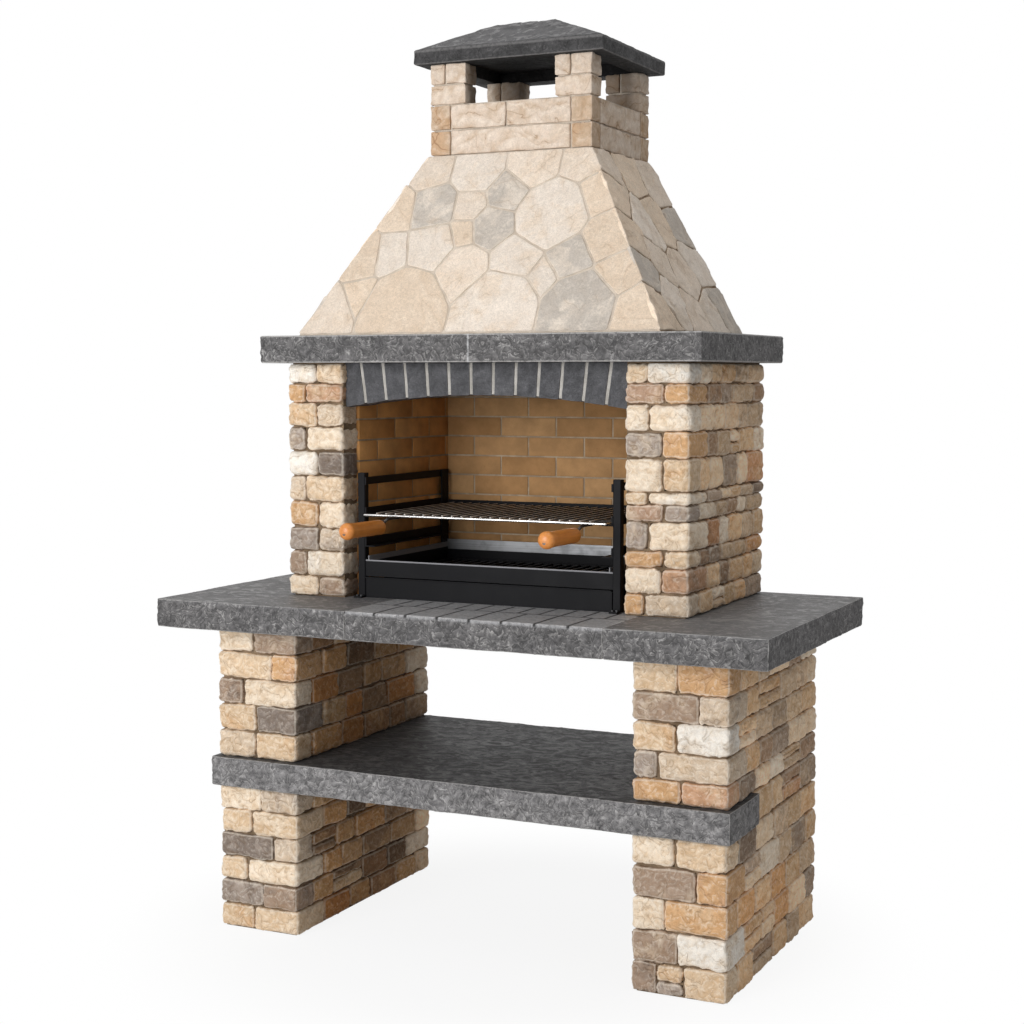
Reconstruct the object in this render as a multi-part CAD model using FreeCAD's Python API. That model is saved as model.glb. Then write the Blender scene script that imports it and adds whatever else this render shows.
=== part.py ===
"""Masonry barbecue: stone legs and shelf, worktop, brick-lined firebox, flagged hood and chimney.

Sizes are in millimetres. The origin is on the floor under the middle of the worktop, X runs to the
right, Y to the back and Z up; the fire opens towards -Y.
"""
import FreeCAD, Part
import math
import os
import random

V = FreeCAD.Vector

# Worktop of three cast slabs, the middle one scored as pavers in front of the fire
WORKTOP_WIDTH = 1690.0
WORKTOP_DEPTH = 840.0
WORKTOP_HEIGHT = 900.0
WORKTOP_THICK = 75.0
LEFT_SLAB_WIDTH = 580.0
RIGHT_SLAB_WIDTH = 405.0
SLAB_ARRIS = 5.0
PAVER_ROW_DEPTH = 152.0
FRONT_PAVER_WIDTH = 88.0
HEARTH_PAVER_WIDTH = 57.0
PAVER_GROOVE = 3.0

# Legs of coursed stone, and the shelf slab built into them
LEG_WIDTH = 240.0
LEG_END_OVERHANG = 126.0
LEG_FRONT_OVERHANG = 103.0
SHELF_HEIGHT = 470.0
SHELF_THICK = 78.0
SHELF_FRONT_OVERHANG = 24.0
SHELF_END_OVERHANG = 13.0
SHELF_EAR_DEPTH = 225.0
SHELF_BEARING = 60.0

# Coursed stone: joints, mortar set back from the face, and lengths of the stones
STONE_JOINT = 7.0
STONE_ARRIS = 6.0
MORTAR_RECESS = 9.0
CORNER_STONE_SHORT = 84.0
CORNER_STONE_LONG = 138.0
LEG_SIDE_STONE_LENGTH = 128.0
PILLAR_SIDE_STONE_LENGTH = 92.0
SIDE_STONE_BED = 58.0
STACKED_SHARE = 0.12

# Pillars on the worktop, mantel slab in two halves and the arch between the pillars
FIRE_WIDTH = 810.0
PILLAR_WIDTH = 165.0
PILLAR_HEIGHT = 625.0
PILLAR_SETBACK = 228.0
PILLAR_REAR_SETBACK = 25.0
MANTEL_THICK = 72.0
MANTEL_END_OVERHANG = 50.0
MANTEL_FRONT_OVERHANG = 58.0
MANTEL_REAR_OVERHANG = 10.0
THROAT_WIDTH = 640.0
THROAT_DEPTH = 320.0
ARCH_SETBACK = 20.0
ARCH_DEPTH = 100.0
ARCH_CROWN_DEPTH = 84.0
ARCH_RISE = 33.0
ARCH_BLOCKS = 13
ARCH_JOINT = 8.0
ARCH_JOINT_RECESS = 3.0

# Firebrick lining and the panel behind it
BACK_PANEL_THICK = 25.0
LINING_THICK = 46.0
LINING_SPLAY = 36.0
LINING_SETBACK = 74.0
BRICK_LENGTH = 168.0
BRICK_HEIGHT = 51.5
BRICK_JOINT = 4.5
FIRST_COURSE_HEIGHT = 24.0
BRICK_PROUD = 2.0

# Hood: hollow, leaning in at the front and the sides, faced with flagstones
HOOD_HEIGHT = 478.0
HOOD_END_INSET = 112.0
HOOD_FRONT_INSET = 20.0
HOOD_WALL = 55.0
FLAG_PROUD = 6.0
FLAG_BED = 16.0
FLAG_JOINT = 7.0

# Chimney stack of two courses and four posts, under a hipped cap with a flat top
STACK_WIDTH = 466.0
STACK_DEPTH = 402.0
STACK_COURSE_HEIGHT = 67.0
STACK_WALL = 59.0
STACK_JOINT = 5.0
STACK_ARRIS = 4.0
POST_BLOCK_HEIGHT = 53.0
POST_WIDTH = 103.0
POST_DEPTH = 64.0
CAP_END_OVERHANG = 39.0
CAP_FRONT_OVERHANG = 22.0
CAP_EDGE = 40.0
CAP_RISE = 71.0
CAP_TOP_WIDTH = 174.0
CAP_TOP_DEPTH = 208.0
CAP_RIM = 65.0
CAP_RECESS = 30.0

# Steel insert: posts, rails and runners
INSERT_SETBACK = 36.0
POST_SIZE = 22.0
POST_WALL = 2.0
POST_TOP = 330.0
POST_CAP_HEIGHT = 3.0
FOOT_LENGTH = 46.0
FOOT_THICK = 4.0
BOLT_RADIUS = 4.0
BOLT_HEIGHT = 4.0
BOLT_SPACING = 12.0
RAIL_THICK = 4.0
RAIL_HEIGHT = 20.0
RAIL_LEVEL = 302.0
FRAME_GAP = 2.0
RUNNER_HEIGHT = 25.0
RUNNER_LEDGE = 25.0
RUNNER_SHEET = 3.0
UPPER_RUNNER_LEVEL = 216.0
LOWER_RUNNER_LEVEL = 136.0
REAR_POST_WIDTH = 40.0
REAR_POST_GAP = 14.0
CROSSBAR_HEIGHT = 15.0

# Fire tray with its charcoal grate, and the ash drawer under it
TRAY_SHEET = 2.5
TRAY_BOTTOM = 57.0
TRAY_FRONT_HEIGHT = 44.0
TRAY_SIDE_HEIGHT = 55.0
TRAY_BACK_HEIGHT = 34.0
TRAY_LEDGE = 32.0
GUARD_HEIGHT = 63.0
GUARD_THICK = 2.0
GRATE_SIDE_GAP = 21.0
GRATE_BAR_DEPTH = 12.0
GRATE_BAR_HEIGHT = 8.0
GRATE_ROD_RADIUS = 3.5
GRATE_ROD_PITCH = 28.0
DRAWER_SHEET = 2.0
DRAWER_SLIP = 0.3
DRAWER_SIDE_GAP = 4.0
DRAWER_SIDE_HEIGHT = 46.0
DRAWER_FRONT_TOP = 55.0
DRAWER_FRONT_GAP = 2.0
DRAWER_LIP = 6.0

# Cooking grill with two wooden grips
GRILL_ROD_RADIUS = 3.5
GRILL_ROD_COUNT = 6
GRILL_ROD_END_GAP = 4.0
GRILL_LIFT = 0.3
GRILL_FRONT_OVERRUN = 20.0
GRILL_REAR_GAP = 8.0
GRILL_WIRE_RADIUS = 2.0
GRILL_WIRE_COUNT = 23
GRILL_WIRE_SPAN = 612.0
GRILL_WIRE_OVERRUN = 6.0
HANDLE_SPACING = 556.0
HANDLE_ROD_RADIUS = 4.0
HANDLE_DROP = 13.0
HANDLE_DROP_LENGTH = 34.0
GRIP_LENGTH = 186.0
GRIP_RADIUS = 21.5
GRIP_WAIST = 19.0
GRIP_END_RADIUS = 8.0
GRIP_SLOPE = 3.3
GRIP_BORE_SLIP = 0.05
FERRULE_LENGTH = 8.0
FERRULE_RADIUS = 10.0

# Courses from the top down: height against the others, then the widths of the front stones
LEFT_LEG_UPPER = (
    (71, (45, 55)),
    (71, (69, 31)),
    (70, (32, 68)),
    (72, (48, 52)),
    (71, (47, 53)),
)
LEFT_LEG_LOWER = (
    (66, (54, 46)),
    (65, (40, 60)),
    (66, (69, 31)),
    (65, (34, 66)),
    (65, (55, 45)),
    (65, (43, 57)),
)
RIGHT_LEG_UPPER = (
    (88, (46, 54)),
    (73, (69, 31)),
    (71, (45, 55)),
    (68, (26, 74)),
    (58, (51, 49)),
)
RIGHT_LEG_LOWER = (
    (78, (45, 55)),
    (79, (68, 32)),
    (78, (34, 66)),
    (79, (48, 52)),
    (78, (26, 29, 45)),
)
LEG_BESIDE_SHELF = ((78, ()),)
LEFT_PILLAR = (
    (57, (52, 48)),
    (51, (31, 69)),
    (64, (52, 48)),
    (66, (31, 69)),
    (69, (52, 48)),
    (69, (31, 69)),
    (72, (53, 47)),
    (64, (54, 46)),
    (69, (31, 69)),
    (55, (52, 48)),
)
RIGHT_PILLAR = (
    (54, (34, 66)),
    (52, (60, 40)),
    (69, (36, 64)),
    (66, (57, 43)),
    (86, (58, 42)),
    (31, (34, 66)),
    (44, (60, 40)),
    (72, (36, 64)),
    (45, (60, 40)),
    (65, (56, 44)),
    (58, (31, 69)),
)

# Flagstones of the hood front: place across and up as shares of the face, then reach in mm
FRONT_FLAGS = (
    (-0.425, 0.910, 50), (-0.155, 0.905, 68), (0.165, 0.920, 70), (0.430, 0.920, 56),
    (-0.575, 0.690, 50), (-0.370, 0.700, 64), (-0.160, 0.705, 44), (0.045, 0.770, 56),
    (0.315, 0.640, 98), (0.540, 0.740, 54),
    (-0.725, 0.430, 62), (-0.570, 0.440, 54), (-0.335, 0.475, 68), (-0.165, 0.545, 36),
    (-0.005, 0.580, 56), (0.655, 0.495, 66),
    (-0.130, 0.345, 68), (0.165, 0.395, 62), (0.465, 0.390, 56), (0.335, 0.300, 36), (0.740, 0.320, 60),
    (-0.900, 0.120, 74), (-0.690, 0.240, 26), (-0.420, 0.150, 112), (0.110, 0.135, 106),
    (0.555, 0.140, 94), (0.885, 0.110, 66),
)
LEFT_QUOINS = (0.120, 0.430, 0.690, 0.910)
RIGHT_QUOINS = (0.110, 0.320, 0.495, 0.740, 0.920)
QUOIN_REACH = 62.0
SIDE_FLAG_ROWS = 4
SIDE_FLAG_WIDTH = 135.0

# Places that follow from the sizes
FRONT = -WORKTOP_DEPTH / 2
BACK = WORKTOP_DEPTH / 2
WORKTOP_BOTTOM = WORKTOP_HEIGHT - WORKTOP_THICK
LEG_OUTER = WORKTOP_WIDTH / 2 - LEG_END_OVERHANG
LEG_INNER = LEG_OUTER - LEG_WIDTH
LEG_FRONT = FRONT + LEG_FRONT_OVERHANG
SHELF_BOTTOM = SHELF_HEIGHT - SHELF_THICK
SHELF_FRONT = LEG_FRONT - SHELF_FRONT_OVERHANG
EAR_BACK = SHELF_FRONT + SHELF_EAR_DEPTH
PILLAR_INNER = FIRE_WIDTH / 2
PILLAR_OUTER = PILLAR_INNER + PILLAR_WIDTH
PILLAR_FRONT = FRONT + PILLAR_SETBACK
PILLAR_BACK = BACK - PILLAR_REAR_SETBACK
MANTEL_BOTTOM = WORKTOP_HEIGHT + PILLAR_HEIGHT
MANTEL_TOP = MANTEL_BOTTOM + MANTEL_THICK
MANTEL_OUTER = PILLAR_OUTER + MANTEL_END_OVERHANG
MANTEL_FRONT = PILLAR_FRONT - MANTEL_FRONT_OVERHANG
MANTEL_BACK = PILLAR_BACK + MANTEL_REAR_OVERHANG
ARCH_FRONT = PILLAR_FRONT + ARCH_SETBACK
ARCH_BACK = ARCH_FRONT + ARCH_DEPTH
ARCH_CROWN = MANTEL_BOTTOM - ARCH_CROWN_DEPTH
ARCH_SPRING = ARCH_CROWN - ARCH_RISE
LINING_FRONT = PILLAR_FRONT + LINING_SETBACK
LINING_FACE = PILLAR_INNER - LINING_THICK
PANEL_FRONT = PILLAR_BACK - BACK_PANEL_THICK
LINING_BACK_FACE = PANEL_FRONT - LINING_THICK
HOOD_HALF = MANTEL_OUTER - HOOD_END_INSET
HOOD_FRONT = MANTEL_FRONT + HOOD_FRONT_INSET
HOOD_BACK = PILLAR_BACK
HOOD_TOP = MANTEL_TOP + HOOD_HEIGHT
STACK_HALF = STACK_WIDTH / 2
STACK_FRONT = HOOD_BACK - STACK_DEPTH
SILL = HOOD_TOP + 2 * STACK_COURSE_HEIGHT
CAP_BOTTOM = SILL + 2 * POST_BLOCK_HEIGHT
RAIL_OUTER = LINING_FACE - FRAME_GAP
RAIL_INNER = RAIL_OUTER - RAIL_THICK
REAR_POST_INNER = RAIL_INNER - RAIL_THICK
INSERT_FRONT = PILLAR_FRONT + INSERT_SETBACK
INSERT_BACK = LINING_BACK_FACE - REAR_POST_GAP
REAR_POST_FRONT = INSERT_BACK - REAR_POST_WIDTH
UPPER_RUNNER_TOP = WORKTOP_HEIGHT + UPPER_RUNNER_LEVEL + RUNNER_SHEET


def box(x0, x1, y0, y1, z0, z1):
    """A block between the given planes."""
    return Part.makeBox(x1 - x0, y1 - y0, z1 - z0, V(x0, y0, z0))


def mirrored(shape):
    """The same piece on the other side of the barbecue."""
    return shape.mirror(V(0, 0, 0), V(1, 0, 0))


def pair(shape):
    """The piece on the right and its twin on the left."""
    return [mirrored(shape), shape]


def polyhedron(faces):
    """A solid with flat faces, each given by its corners."""
    shell = Part.makeShell([Part.Face(Part.makePolygon(list(face) + [face[0]])) for face in faces])
    shell.sewShape()
    solid = Part.makeSolid(shell)
    if solid.Volume < 0:
        solid.reverse()
    return solid


def save(node, solids):
    """Write the solids of one node."""
    shape = solids[0] if len(solids) == 1 else Part.makeCompound(solids)
    shape.exportStep(f"parts/{node}.step")


def eased_slab(x0, x1, y0, y1, z0, z1):
    """A cast slab with the edges of its top and its underside eased."""
    slab = box(x0, x1, y0, y1, z0, z1)
    rims = [edge for edge in slab.Edges if edge.BoundBox.ZLength < 1]
    return slab.makeChamfer(SLAB_ARRIS, rims)


def eased_block(bounds, faces, arris):
    """A block with the edges of the named faces eased."""
    block = box(*bounds)
    places = {"left": (0, 0), "right": (0, 1), "front": (1, 2), "back": (1, 3)}
    rims = []
    for edge in block.Edges:
        middle = edge.BoundBox.Center
        for face in faces:
            axis, bound = places[face]
            if abs(middle[axis] - bounds[bound]) < 0.01:
                rims.append(edge)
                break
    return block.makeChamfer(arris, rims)


def running_sums(start, end, parts):
    """Places that divide a length in the ratio of the given parts."""
    total = sum(parts)
    places = [start]
    for part in parts:
        places.append(places[-1] + (end - start) * part / total)
    return list(zip(places, places[1:]))


def course_cells(bounds, widths, faces, flip, length, rng):
    """Plan of one course: the bounds of each stone and the faces that it shows."""
    x0, x1, y0, y1 = bounds
    near = {"left": CORNER_STONE_LONG, "right": CORNER_STONE_SHORT}
    if flip:
        near = {"left": CORNER_STONE_SHORT, "right": CORNER_STONE_LONG}
    far = {"left": near["right"], "right": near["left"]}
    cells = []
    if "front" in faces:
        runs = running_sums(x0, x1, widths)
        for number, (start, end) in enumerate(runs):
            shown = {"front"}
            depth = CORNER_STONE_SHORT
            if number == 0:
                shown.add("left")
                depth = near["left"]
            if number == len(runs) - 1:
                shown.add("right")
                depth = near["right"]
            cells.append(((start, end, y0, y0 + depth), shown))
    if "back" in faces:
        split = x0 + (x1 - x0) * rng.uniform(0.35, 0.65)
        cells.append(((x0, split, y1 - far["left"], y1), {"back", "left"}))
        cells.append(((split, x1, y1 - far["right"], y1), {"back", "right"}))
    for side in ("left", "right"):
        if side not in faces:
            continue
        start = y0 + near[side] if "front" in faces else y0
        end = y1 - far[side] if "back" in faces else y1
        count = max(1, round((end - start) / length))
        lengths = [rng.uniform(0.7, 1.3) for _ in range(count)]
        left, right = (x0, x0 + SIDE_STONE_BED) if side == "left" else (x1 - SIDE_STONE_BED, x1)
        for near_end, far_end in running_sums(start, end, lengths):
            cells.append(((left, right, near_end, far_end), {side}))
    return cells


def lay_stones(bounds, courses, faces, length, seed):
    """Stones round a pier, and the mortar and fill between and behind them.

    A stone away from the corners is now and then laid as two thin ones, one on the other.
    """
    x0, x1, y0, y1, z0, z1 = bounds
    rng = random.Random(seed)
    half = STONE_JOINT / 2
    stones = []
    for number, (bottom, top) in enumerate(running_sums(z1, z0, [height for height, _ in courses])):
        bottom, top = min(bottom, top), max(bottom, top)
        for (left, right, near, far), shown in course_cells(
            (x0, x1, y0, y1), courses[number][1], faces, number % 2 == 1, length, rng
        ):
            plan = (
                left if "left" in shown else left + half,
                right if "right" in shown else right - half,
                near if "front" in shown else near + half,
                far if "back" in shown else far - half,
            )
            levels = [bottom, top]
            thick_enough = top - bottom > 4 * (STONE_JOINT + STONE_ARRIS)
            stacked = shown == {"front"} or (len(shown) == 1 and rng.random() < STACKED_SHARE)
            if thick_enough and stacked:
                levels.insert(1, bottom + (top - bottom) * rng.uniform(0.42, 0.58))
            for low, high in zip(levels, levels[1:]):
                stones.append(eased_block((*plan, low + half, high - half), shown, STONE_ARRIS))
    inset = {face: MORTAR_RECESS if face in faces else 0 for face in ("left", "right", "front", "back")}
    fill = box(x0 + inset["left"], x1 - inset["right"], y0 + inset["front"], y1 - inset["back"], z0, z1)
    return stones, fill.cut(stones)


def build_worktop():
    """Three slabs side by side; the middle one is scored as two rows of pavers."""
    left_joint = -WORKTOP_WIDTH / 2 + LEFT_SLAB_WIDTH
    right_joint = WORKTOP_WIDTH / 2 - RIGHT_SLAB_WIDTH
    levels = (WORKTOP_BOTTOM, WORKTOP_HEIGHT)
    save("worktop_left", [eased_slab(-WORKTOP_WIDTH / 2, left_joint, FRONT, BACK, *levels)])
    save("worktop_right", [eased_slab(right_joint, WORKTOP_WIDTH / 2, FRONT, BACK, *levels)])
    centre = eased_slab(left_joint, right_joint, FRONT, BACK, *levels)
    groove_bottom = WORKTOP_HEIGHT - PAVER_GROOVE
    row_line = FRONT + PAVER_ROW_DEPTH
    width = right_joint - left_joint
    grooves = [box(left_joint, right_joint, row_line, row_line + PAVER_GROOVE, groove_bottom, WORKTOP_HEIGHT)]
    for paver, near, far in (
        (FRONT_PAVER_WIDTH, FRONT, row_line),
        (HEARTH_PAVER_WIDTH, row_line, INSERT_FRONT),
    ):
        count = round(width / paver)
        for number in range(1, count):
            middle = left_joint + width * number / count
            left, right = middle - PAVER_GROOVE / 2, middle + PAVER_GROOVE / 2
            grooves.append(box(left, right, near, far, groove_bottom, WORKTOP_HEIGHT))
    save("worktop_centre", [centre.cut(grooves)])


def build_legs():
    """Both legs: below the shelf, beside it and above it."""
    for side, lower, upper, seed in (
        ("left", LEFT_LEG_LOWER, LEFT_LEG_UPPER, 11),
        ("right", RIGHT_LEG_LOWER, RIGHT_LEG_UPPER, 23),
    ):
        across = (-LEG_OUTER, -LEG_INNER) if side == "left" else (LEG_INNER, LEG_OUTER)
        beside = (-LEG_OUTER, -LEG_INNER - SHELF_BEARING)
        if side == "right":
            beside = (LEG_INNER + SHELF_BEARING, LEG_OUTER)
        all_round = {"front", "back", "left", "right"}
        length = LEG_SIDE_STONE_LENGTH
        below = (*across, LEG_FRONT, BACK, 0, SHELF_BOTTOM)
        low_stones, low_fill = lay_stones(below, lower, all_round, length, seed)
        level = (*beside, EAR_BACK, BACK, SHELF_BOTTOM, SHELF_HEIGHT)
        mid_stones, mid_fill = lay_stones(level, LEG_BESIDE_SHELF, {"back", side}, length, seed + 1)
        above = (*across, LEG_FRONT, BACK, SHELF_HEIGHT, WORKTOP_BOTTOM)
        top_stones, top_fill = lay_stones(above, upper, all_round, length, seed + 2)
        save(f"{side}_leg_lower_stones", low_stones)
        save(f"{side}_leg_upper_stones", mid_stones + top_stones)
        save(f"{side}_leg_core", [low_fill, mid_fill, top_fill])


def build_shelf():
    """Slab built into both legs, with ears that run out over them at the front."""
    bearing = LEG_INNER + SHELF_BEARING
    ear = LEG_OUTER + SHELF_END_OVERHANG
    slab = box(-bearing, bearing, SHELF_FRONT, BACK, SHELF_BOTTOM, SHELF_HEIGHT)
    ears = box(-ear, ear, SHELF_FRONT, EAR_BACK, SHELF_BOTTOM, SHELF_HEIGHT)
    shelf = slab.fuse(ears).removeSplitter()
    rims = []
    for edge in shelf.Edges:
        bounds = edge.BoundBox
        if bounds.YMax < SHELF_FRONT + 0.01 and bounds.XLength > 1:
            rims.append(edge)
    save("shelf_slab", [shelf.makeChamfer(SLAB_ARRIS, rims)])


def build_pillars():
    """Stone pillars, open to the lining on their inner side."""
    for side, courses, seed in (("left", LEFT_PILLAR, 37), ("right", RIGHT_PILLAR, 41)):
        across = (-PILLAR_OUTER, -PILLAR_INNER) if side == "left" else (PILLAR_INNER, PILLAR_OUTER)
        bounds = (*across, PILLAR_FRONT, PILLAR_BACK, WORKTOP_HEIGHT, MANTEL_BOTTOM)
        stones, fill = lay_stones(bounds, courses, {"front", "back", side}, PILLAR_SIDE_STONE_LENGTH, seed)
        save(f"{side}_pillar_stones", stones)
        save(f"{side}_pillar_core", [fill])


def lining_bricks(start, end, thickness_bounds, along):
    """Bricks in running bond along one axis, from the worktop up to the mantel."""
    near, far = thickness_bounds
    pitch = BRICK_LENGTH + BRICK_JOINT
    bricks = []
    bottom = WORKTOP_HEIGHT
    top = bottom + FIRST_COURSE_HEIGHT
    course = 0
    while bottom < MANTEL_BOTTOM - BRICK_JOINT:
        joint = start + (pitch / 2 if course % 2 else pitch)
        places = [start]
        while joint < end - BRICK_HEIGHT / 2:
            places.append(joint)
            joint += pitch
        places.append(end)
        for left, right in zip(places, places[1:]):
            first = left + (BRICK_JOINT / 2 if left > start else 0)
            last = right - (BRICK_JOINT / 2 if right < end else 0)
            plan = (first, last, near, far) if along == "x" else (near, far, first, last)
            bricks.append(box(*plan, bottom, min(top, MANTEL_BOTTOM)))
        bottom = top + BRICK_JOINT
        top = bottom + BRICK_HEIGHT
        course += 1
    return bricks


def splay_wedge(lift):
    """Space in front of the right lining, which splays out to the front; lifted towards the pillar."""
    back = LINING_FACE + lift
    plan = [
        V(LINING_FACE - 1, LINING_FRONT - 1, WORKTOP_HEIGHT),
        V(back + LINING_SPLAY, LINING_FRONT - 1, WORKTOP_HEIGHT),
        V(back, LINING_BACK_FACE, WORKTOP_HEIGHT),
        V(LINING_FACE - 1, LINING_BACK_FACE, WORKTOP_HEIGHT),
    ]
    face = Part.Face(Part.makePolygon(plan + plan[:1]))
    return face.extrude(V(0, 0, PILLAR_HEIGHT))


def build_lining():
    """Firebrick on both sides, splayed out to the front, and at the back, against a plain panel."""
    panel = box(-PILLAR_INNER, PILLAR_INNER, PANEL_FRONT, PILLAR_BACK, WORKTOP_HEIGHT, MANTEL_BOTTOM)
    save("back_panel", [panel])
    arch_seat = box(LINING_FACE, PILLAR_INNER, LINING_FRONT, ARCH_BACK, ARCH_SPRING, MANTEL_BOTTOM)
    bricks = []
    for brick in lining_bricks(LINING_FRONT, PANEL_FRONT, (LINING_FACE, PILLAR_INNER), "y"):
        rest = brick.cut([arch_seat, splay_wedge(0)])
        bricks.extend(rest.Solids)
    mortar_face = LINING_FACE + BRICK_PROUD
    wall = box(mortar_face, PILLAR_INNER, LINING_FRONT, PANEL_FRONT, WORKTOP_HEIGHT, MANTEL_BOTTOM)
    mortar = wall.cut([arch_seat, splay_wedge(BRICK_PROUD)] + bricks).Solids
    save("right_lining_bricks", bricks)
    save("right_lining_mortar", mortar)
    save("left_lining_bricks", [mirrored(brick) for brick in bricks])
    save("left_lining_mortar", [mirrored(piece) for piece in mortar])
    bricks = lining_bricks(-LINING_FACE, LINING_FACE, (LINING_BACK_FACE, PANEL_FRONT), "x")
    wall = box(
        -LINING_FACE, LINING_FACE, LINING_BACK_FACE + BRICK_PROUD, PANEL_FRONT, WORKTOP_HEIGHT, MANTEL_BOTTOM
    )
    save("back_lining_bricks", bricks)
    save("back_lining_mortar", wall.cut(bricks).Solids)


def build_arch():
    """Flat-topped arch of wedge blocks, seated on the lining, with a mortar joint between each two."""
    radius = (PILLAR_INNER**2 + ARCH_RISE**2) / (2 * ARCH_RISE)
    centre = ARCH_CROWN - radius
    sweep = math.asin(PILLAR_INNER / radius)
    half_joint = ARCH_JOINT / 2 / radius

    def below(angle, lift=0.0):
        return ((radius + lift) * math.sin(angle), centre + (radius + lift) * math.cos(angle))

    def above(angle):
        return ((MANTEL_BOTTOM - centre) * math.tan(angle), MANTEL_BOTTOM)

    def prism(corners, front):
        wire = Part.makePolygon([V(x, front, z) for x, z in corners + corners[:1]])
        return Part.Face(wire).extrude(V(0, ARCH_BACK - front, 0))

    blocks = []
    joints = []
    for number in range(ARCH_BLOCKS):
        start = sweep * (2 * number / ARCH_BLOCKS - 1)
        end = sweep * (2 * (number + 1) / ARCH_BLOCKS - 1)
        left = [above(start + half_joint), below(start + half_joint)]
        if number == 0:
            left = [(-PILLAR_INNER, MANTEL_BOTTOM), (-PILLAR_INNER, ARCH_SPRING)]
        right = [below(end - half_joint), above(end - half_joint)]
        if number == ARCH_BLOCKS - 1:
            right = [(PILLAR_INNER, ARCH_SPRING), (PILLAR_INNER, MANTEL_BOTTOM)]
        blocks.append(prism(left + right, ARCH_FRONT))
        if number:
            lower = [below(start + shift, ARCH_JOINT_RECESS) for shift in (-half_joint, half_joint)]
            upper = [above(start + half_joint), above(start - half_joint)]
            joints.append(prism(lower + upper, ARCH_FRONT + ARCH_JOINT_RECESS))
    save("arch_blocks", blocks)
    save("arch_joints", joints)


def build_mantel():
    """Slab over the pillars in two halves, with the throat of the flue through it."""
    throat_back = LINING_BACK_FACE
    throat_front = throat_back - THROAT_DEPTH
    across = THROAT_WIDTH / 2
    throat = box(-across, across, throat_front, throat_back, MANTEL_BOTTOM, MANTEL_TOP)
    half = eased_slab(0, MANTEL_OUTER, MANTEL_FRONT, MANTEL_BACK, MANTEL_BOTTOM, MANTEL_TOP).cut(throat)
    save("mantel_right", [half])
    save("mantel_left", [mirrored(half)])


def hood_corner(top, side, front, offset, back_offset):
    """A corner of the hood's base or top, moved outwards by the offset."""
    half = (STACK_HALF if top else HOOD_HALF) + offset
    y = (STACK_FRONT if top else HOOD_FRONT) - offset
    if not front:
        y = HOOD_BACK + back_offset
    return V(side * half, y, HOOD_TOP if top else MANTEL_TOP)


def hood_wall(ends, outer, inner, back_outer, back_inner):
    """Wall of the hood between two corners, mitred where it meets the next wall."""
    (side_a, front_a), (side_b, front_b) = ends
    corners = {}
    for top in (False, True):
        for layer, offset, back in (("out", outer, back_outer), ("in", inner, back_inner)):
            corners[layer, "a", top] = hood_corner(top, side_a, front_a, offset, back)
            corners[layer, "b", top] = hood_corner(top, side_b, front_b, offset, back)
    outline = (("out", "a"), ("out", "b"), ("in", "b"), ("in", "a"))
    faces = [[corners[layer, end, top] for layer, end in outline] for top in (False, True)]
    for start, stop in zip(outline, outline[1:] + outline[:1]):
        edge = ((*start, False), (*stop, False), (*stop, True), (*start, True))
        faces.append([corners[key] for key in edge])
    return polyhedron(faces)


def clip(outline, normal, limit):
    """The part of a convex outline that lies short of a line."""
    kept = []
    for start, end in zip(outline, outline[1:] + outline[:1]):
        start_over = start[0] * normal[0] + start[1] * normal[1] - limit
        end_over = end[0] * normal[0] + end[1] * normal[1] - limit
        if start_over <= 0:
            kept.append(start)
        if start_over * end_over < 0:
            share = start_over / (start_over - end_over)
            kept.append((start[0] + share * (end[0] - start[0]), start[1] + share * (end[1] - start[1])))
    return kept


def flag_outlines(seeds, outline):
    """Shares an outline out among seeds as convex stones, a joint apart; a longer reach takes more."""
    cells = []
    for seed in seeds:
        cell = outline
        for other in seeds:
            if other is seed:
                continue
            across, up = other[0] - seed[0], other[1] - seed[1]
            gap = math.hypot(across, up)
            normal = (across / gap, up / gap)
            middle = (gap + (seed[2] ** 2 - other[2] ** 2) / gap) / 2
            limit = seed[0] * normal[0] + seed[1] * normal[1] + middle - FLAG_JOINT / 2
            cell = clip(cell, normal, limit)
        if len(cell) > 2:
            cells.append(cell)
    return cells


def flag_solids(outlines, origin, across, up, region):
    """Flagstones with the given outlines on a leaning face, inside a layer of it."""
    normal = across.cross(up)
    reach = 2 * (FLAG_PROUD + FLAG_BED)
    flags = []
    for outline in outlines:
        corners = [origin + across * a + up * b - normal * reach for a, b in outline]
        prism = Part.Face(Part.makePolygon(corners + corners[:1])).extrude(normal * (2 * reach))
        flags.extend(prism.common(region).Solids)
    return flags


def side_flag_seeds(quoins, lean, slope, depth, seed):
    """Seeds for a side of the hood: quoins up its front edge, then rows of flags behind them."""
    rng = random.Random(seed)
    seeds = [(lean * share + QUOIN_REACH, slope * share, QUOIN_REACH) for share in quoins]
    for row in range(SIDE_FLAG_ROWS):
        share = (row + 0.5) / SIDE_FLAG_ROWS
        start = lean * share + 2 * QUOIN_REACH
        count = max(1, round((depth - start) / SIDE_FLAG_WIDTH))
        pitch = (depth - start) / count
        for number in range(count):
            across = start + pitch * (number + 0.5 + rng.uniform(-0.16, 0.16))
            height = slope * (share + rng.uniform(-0.06, 0.06))
            seeds.append((across, height, SIDE_FLAG_WIDTH / 2 * rng.uniform(0.85, 1.1)))
    return seeds


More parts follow.
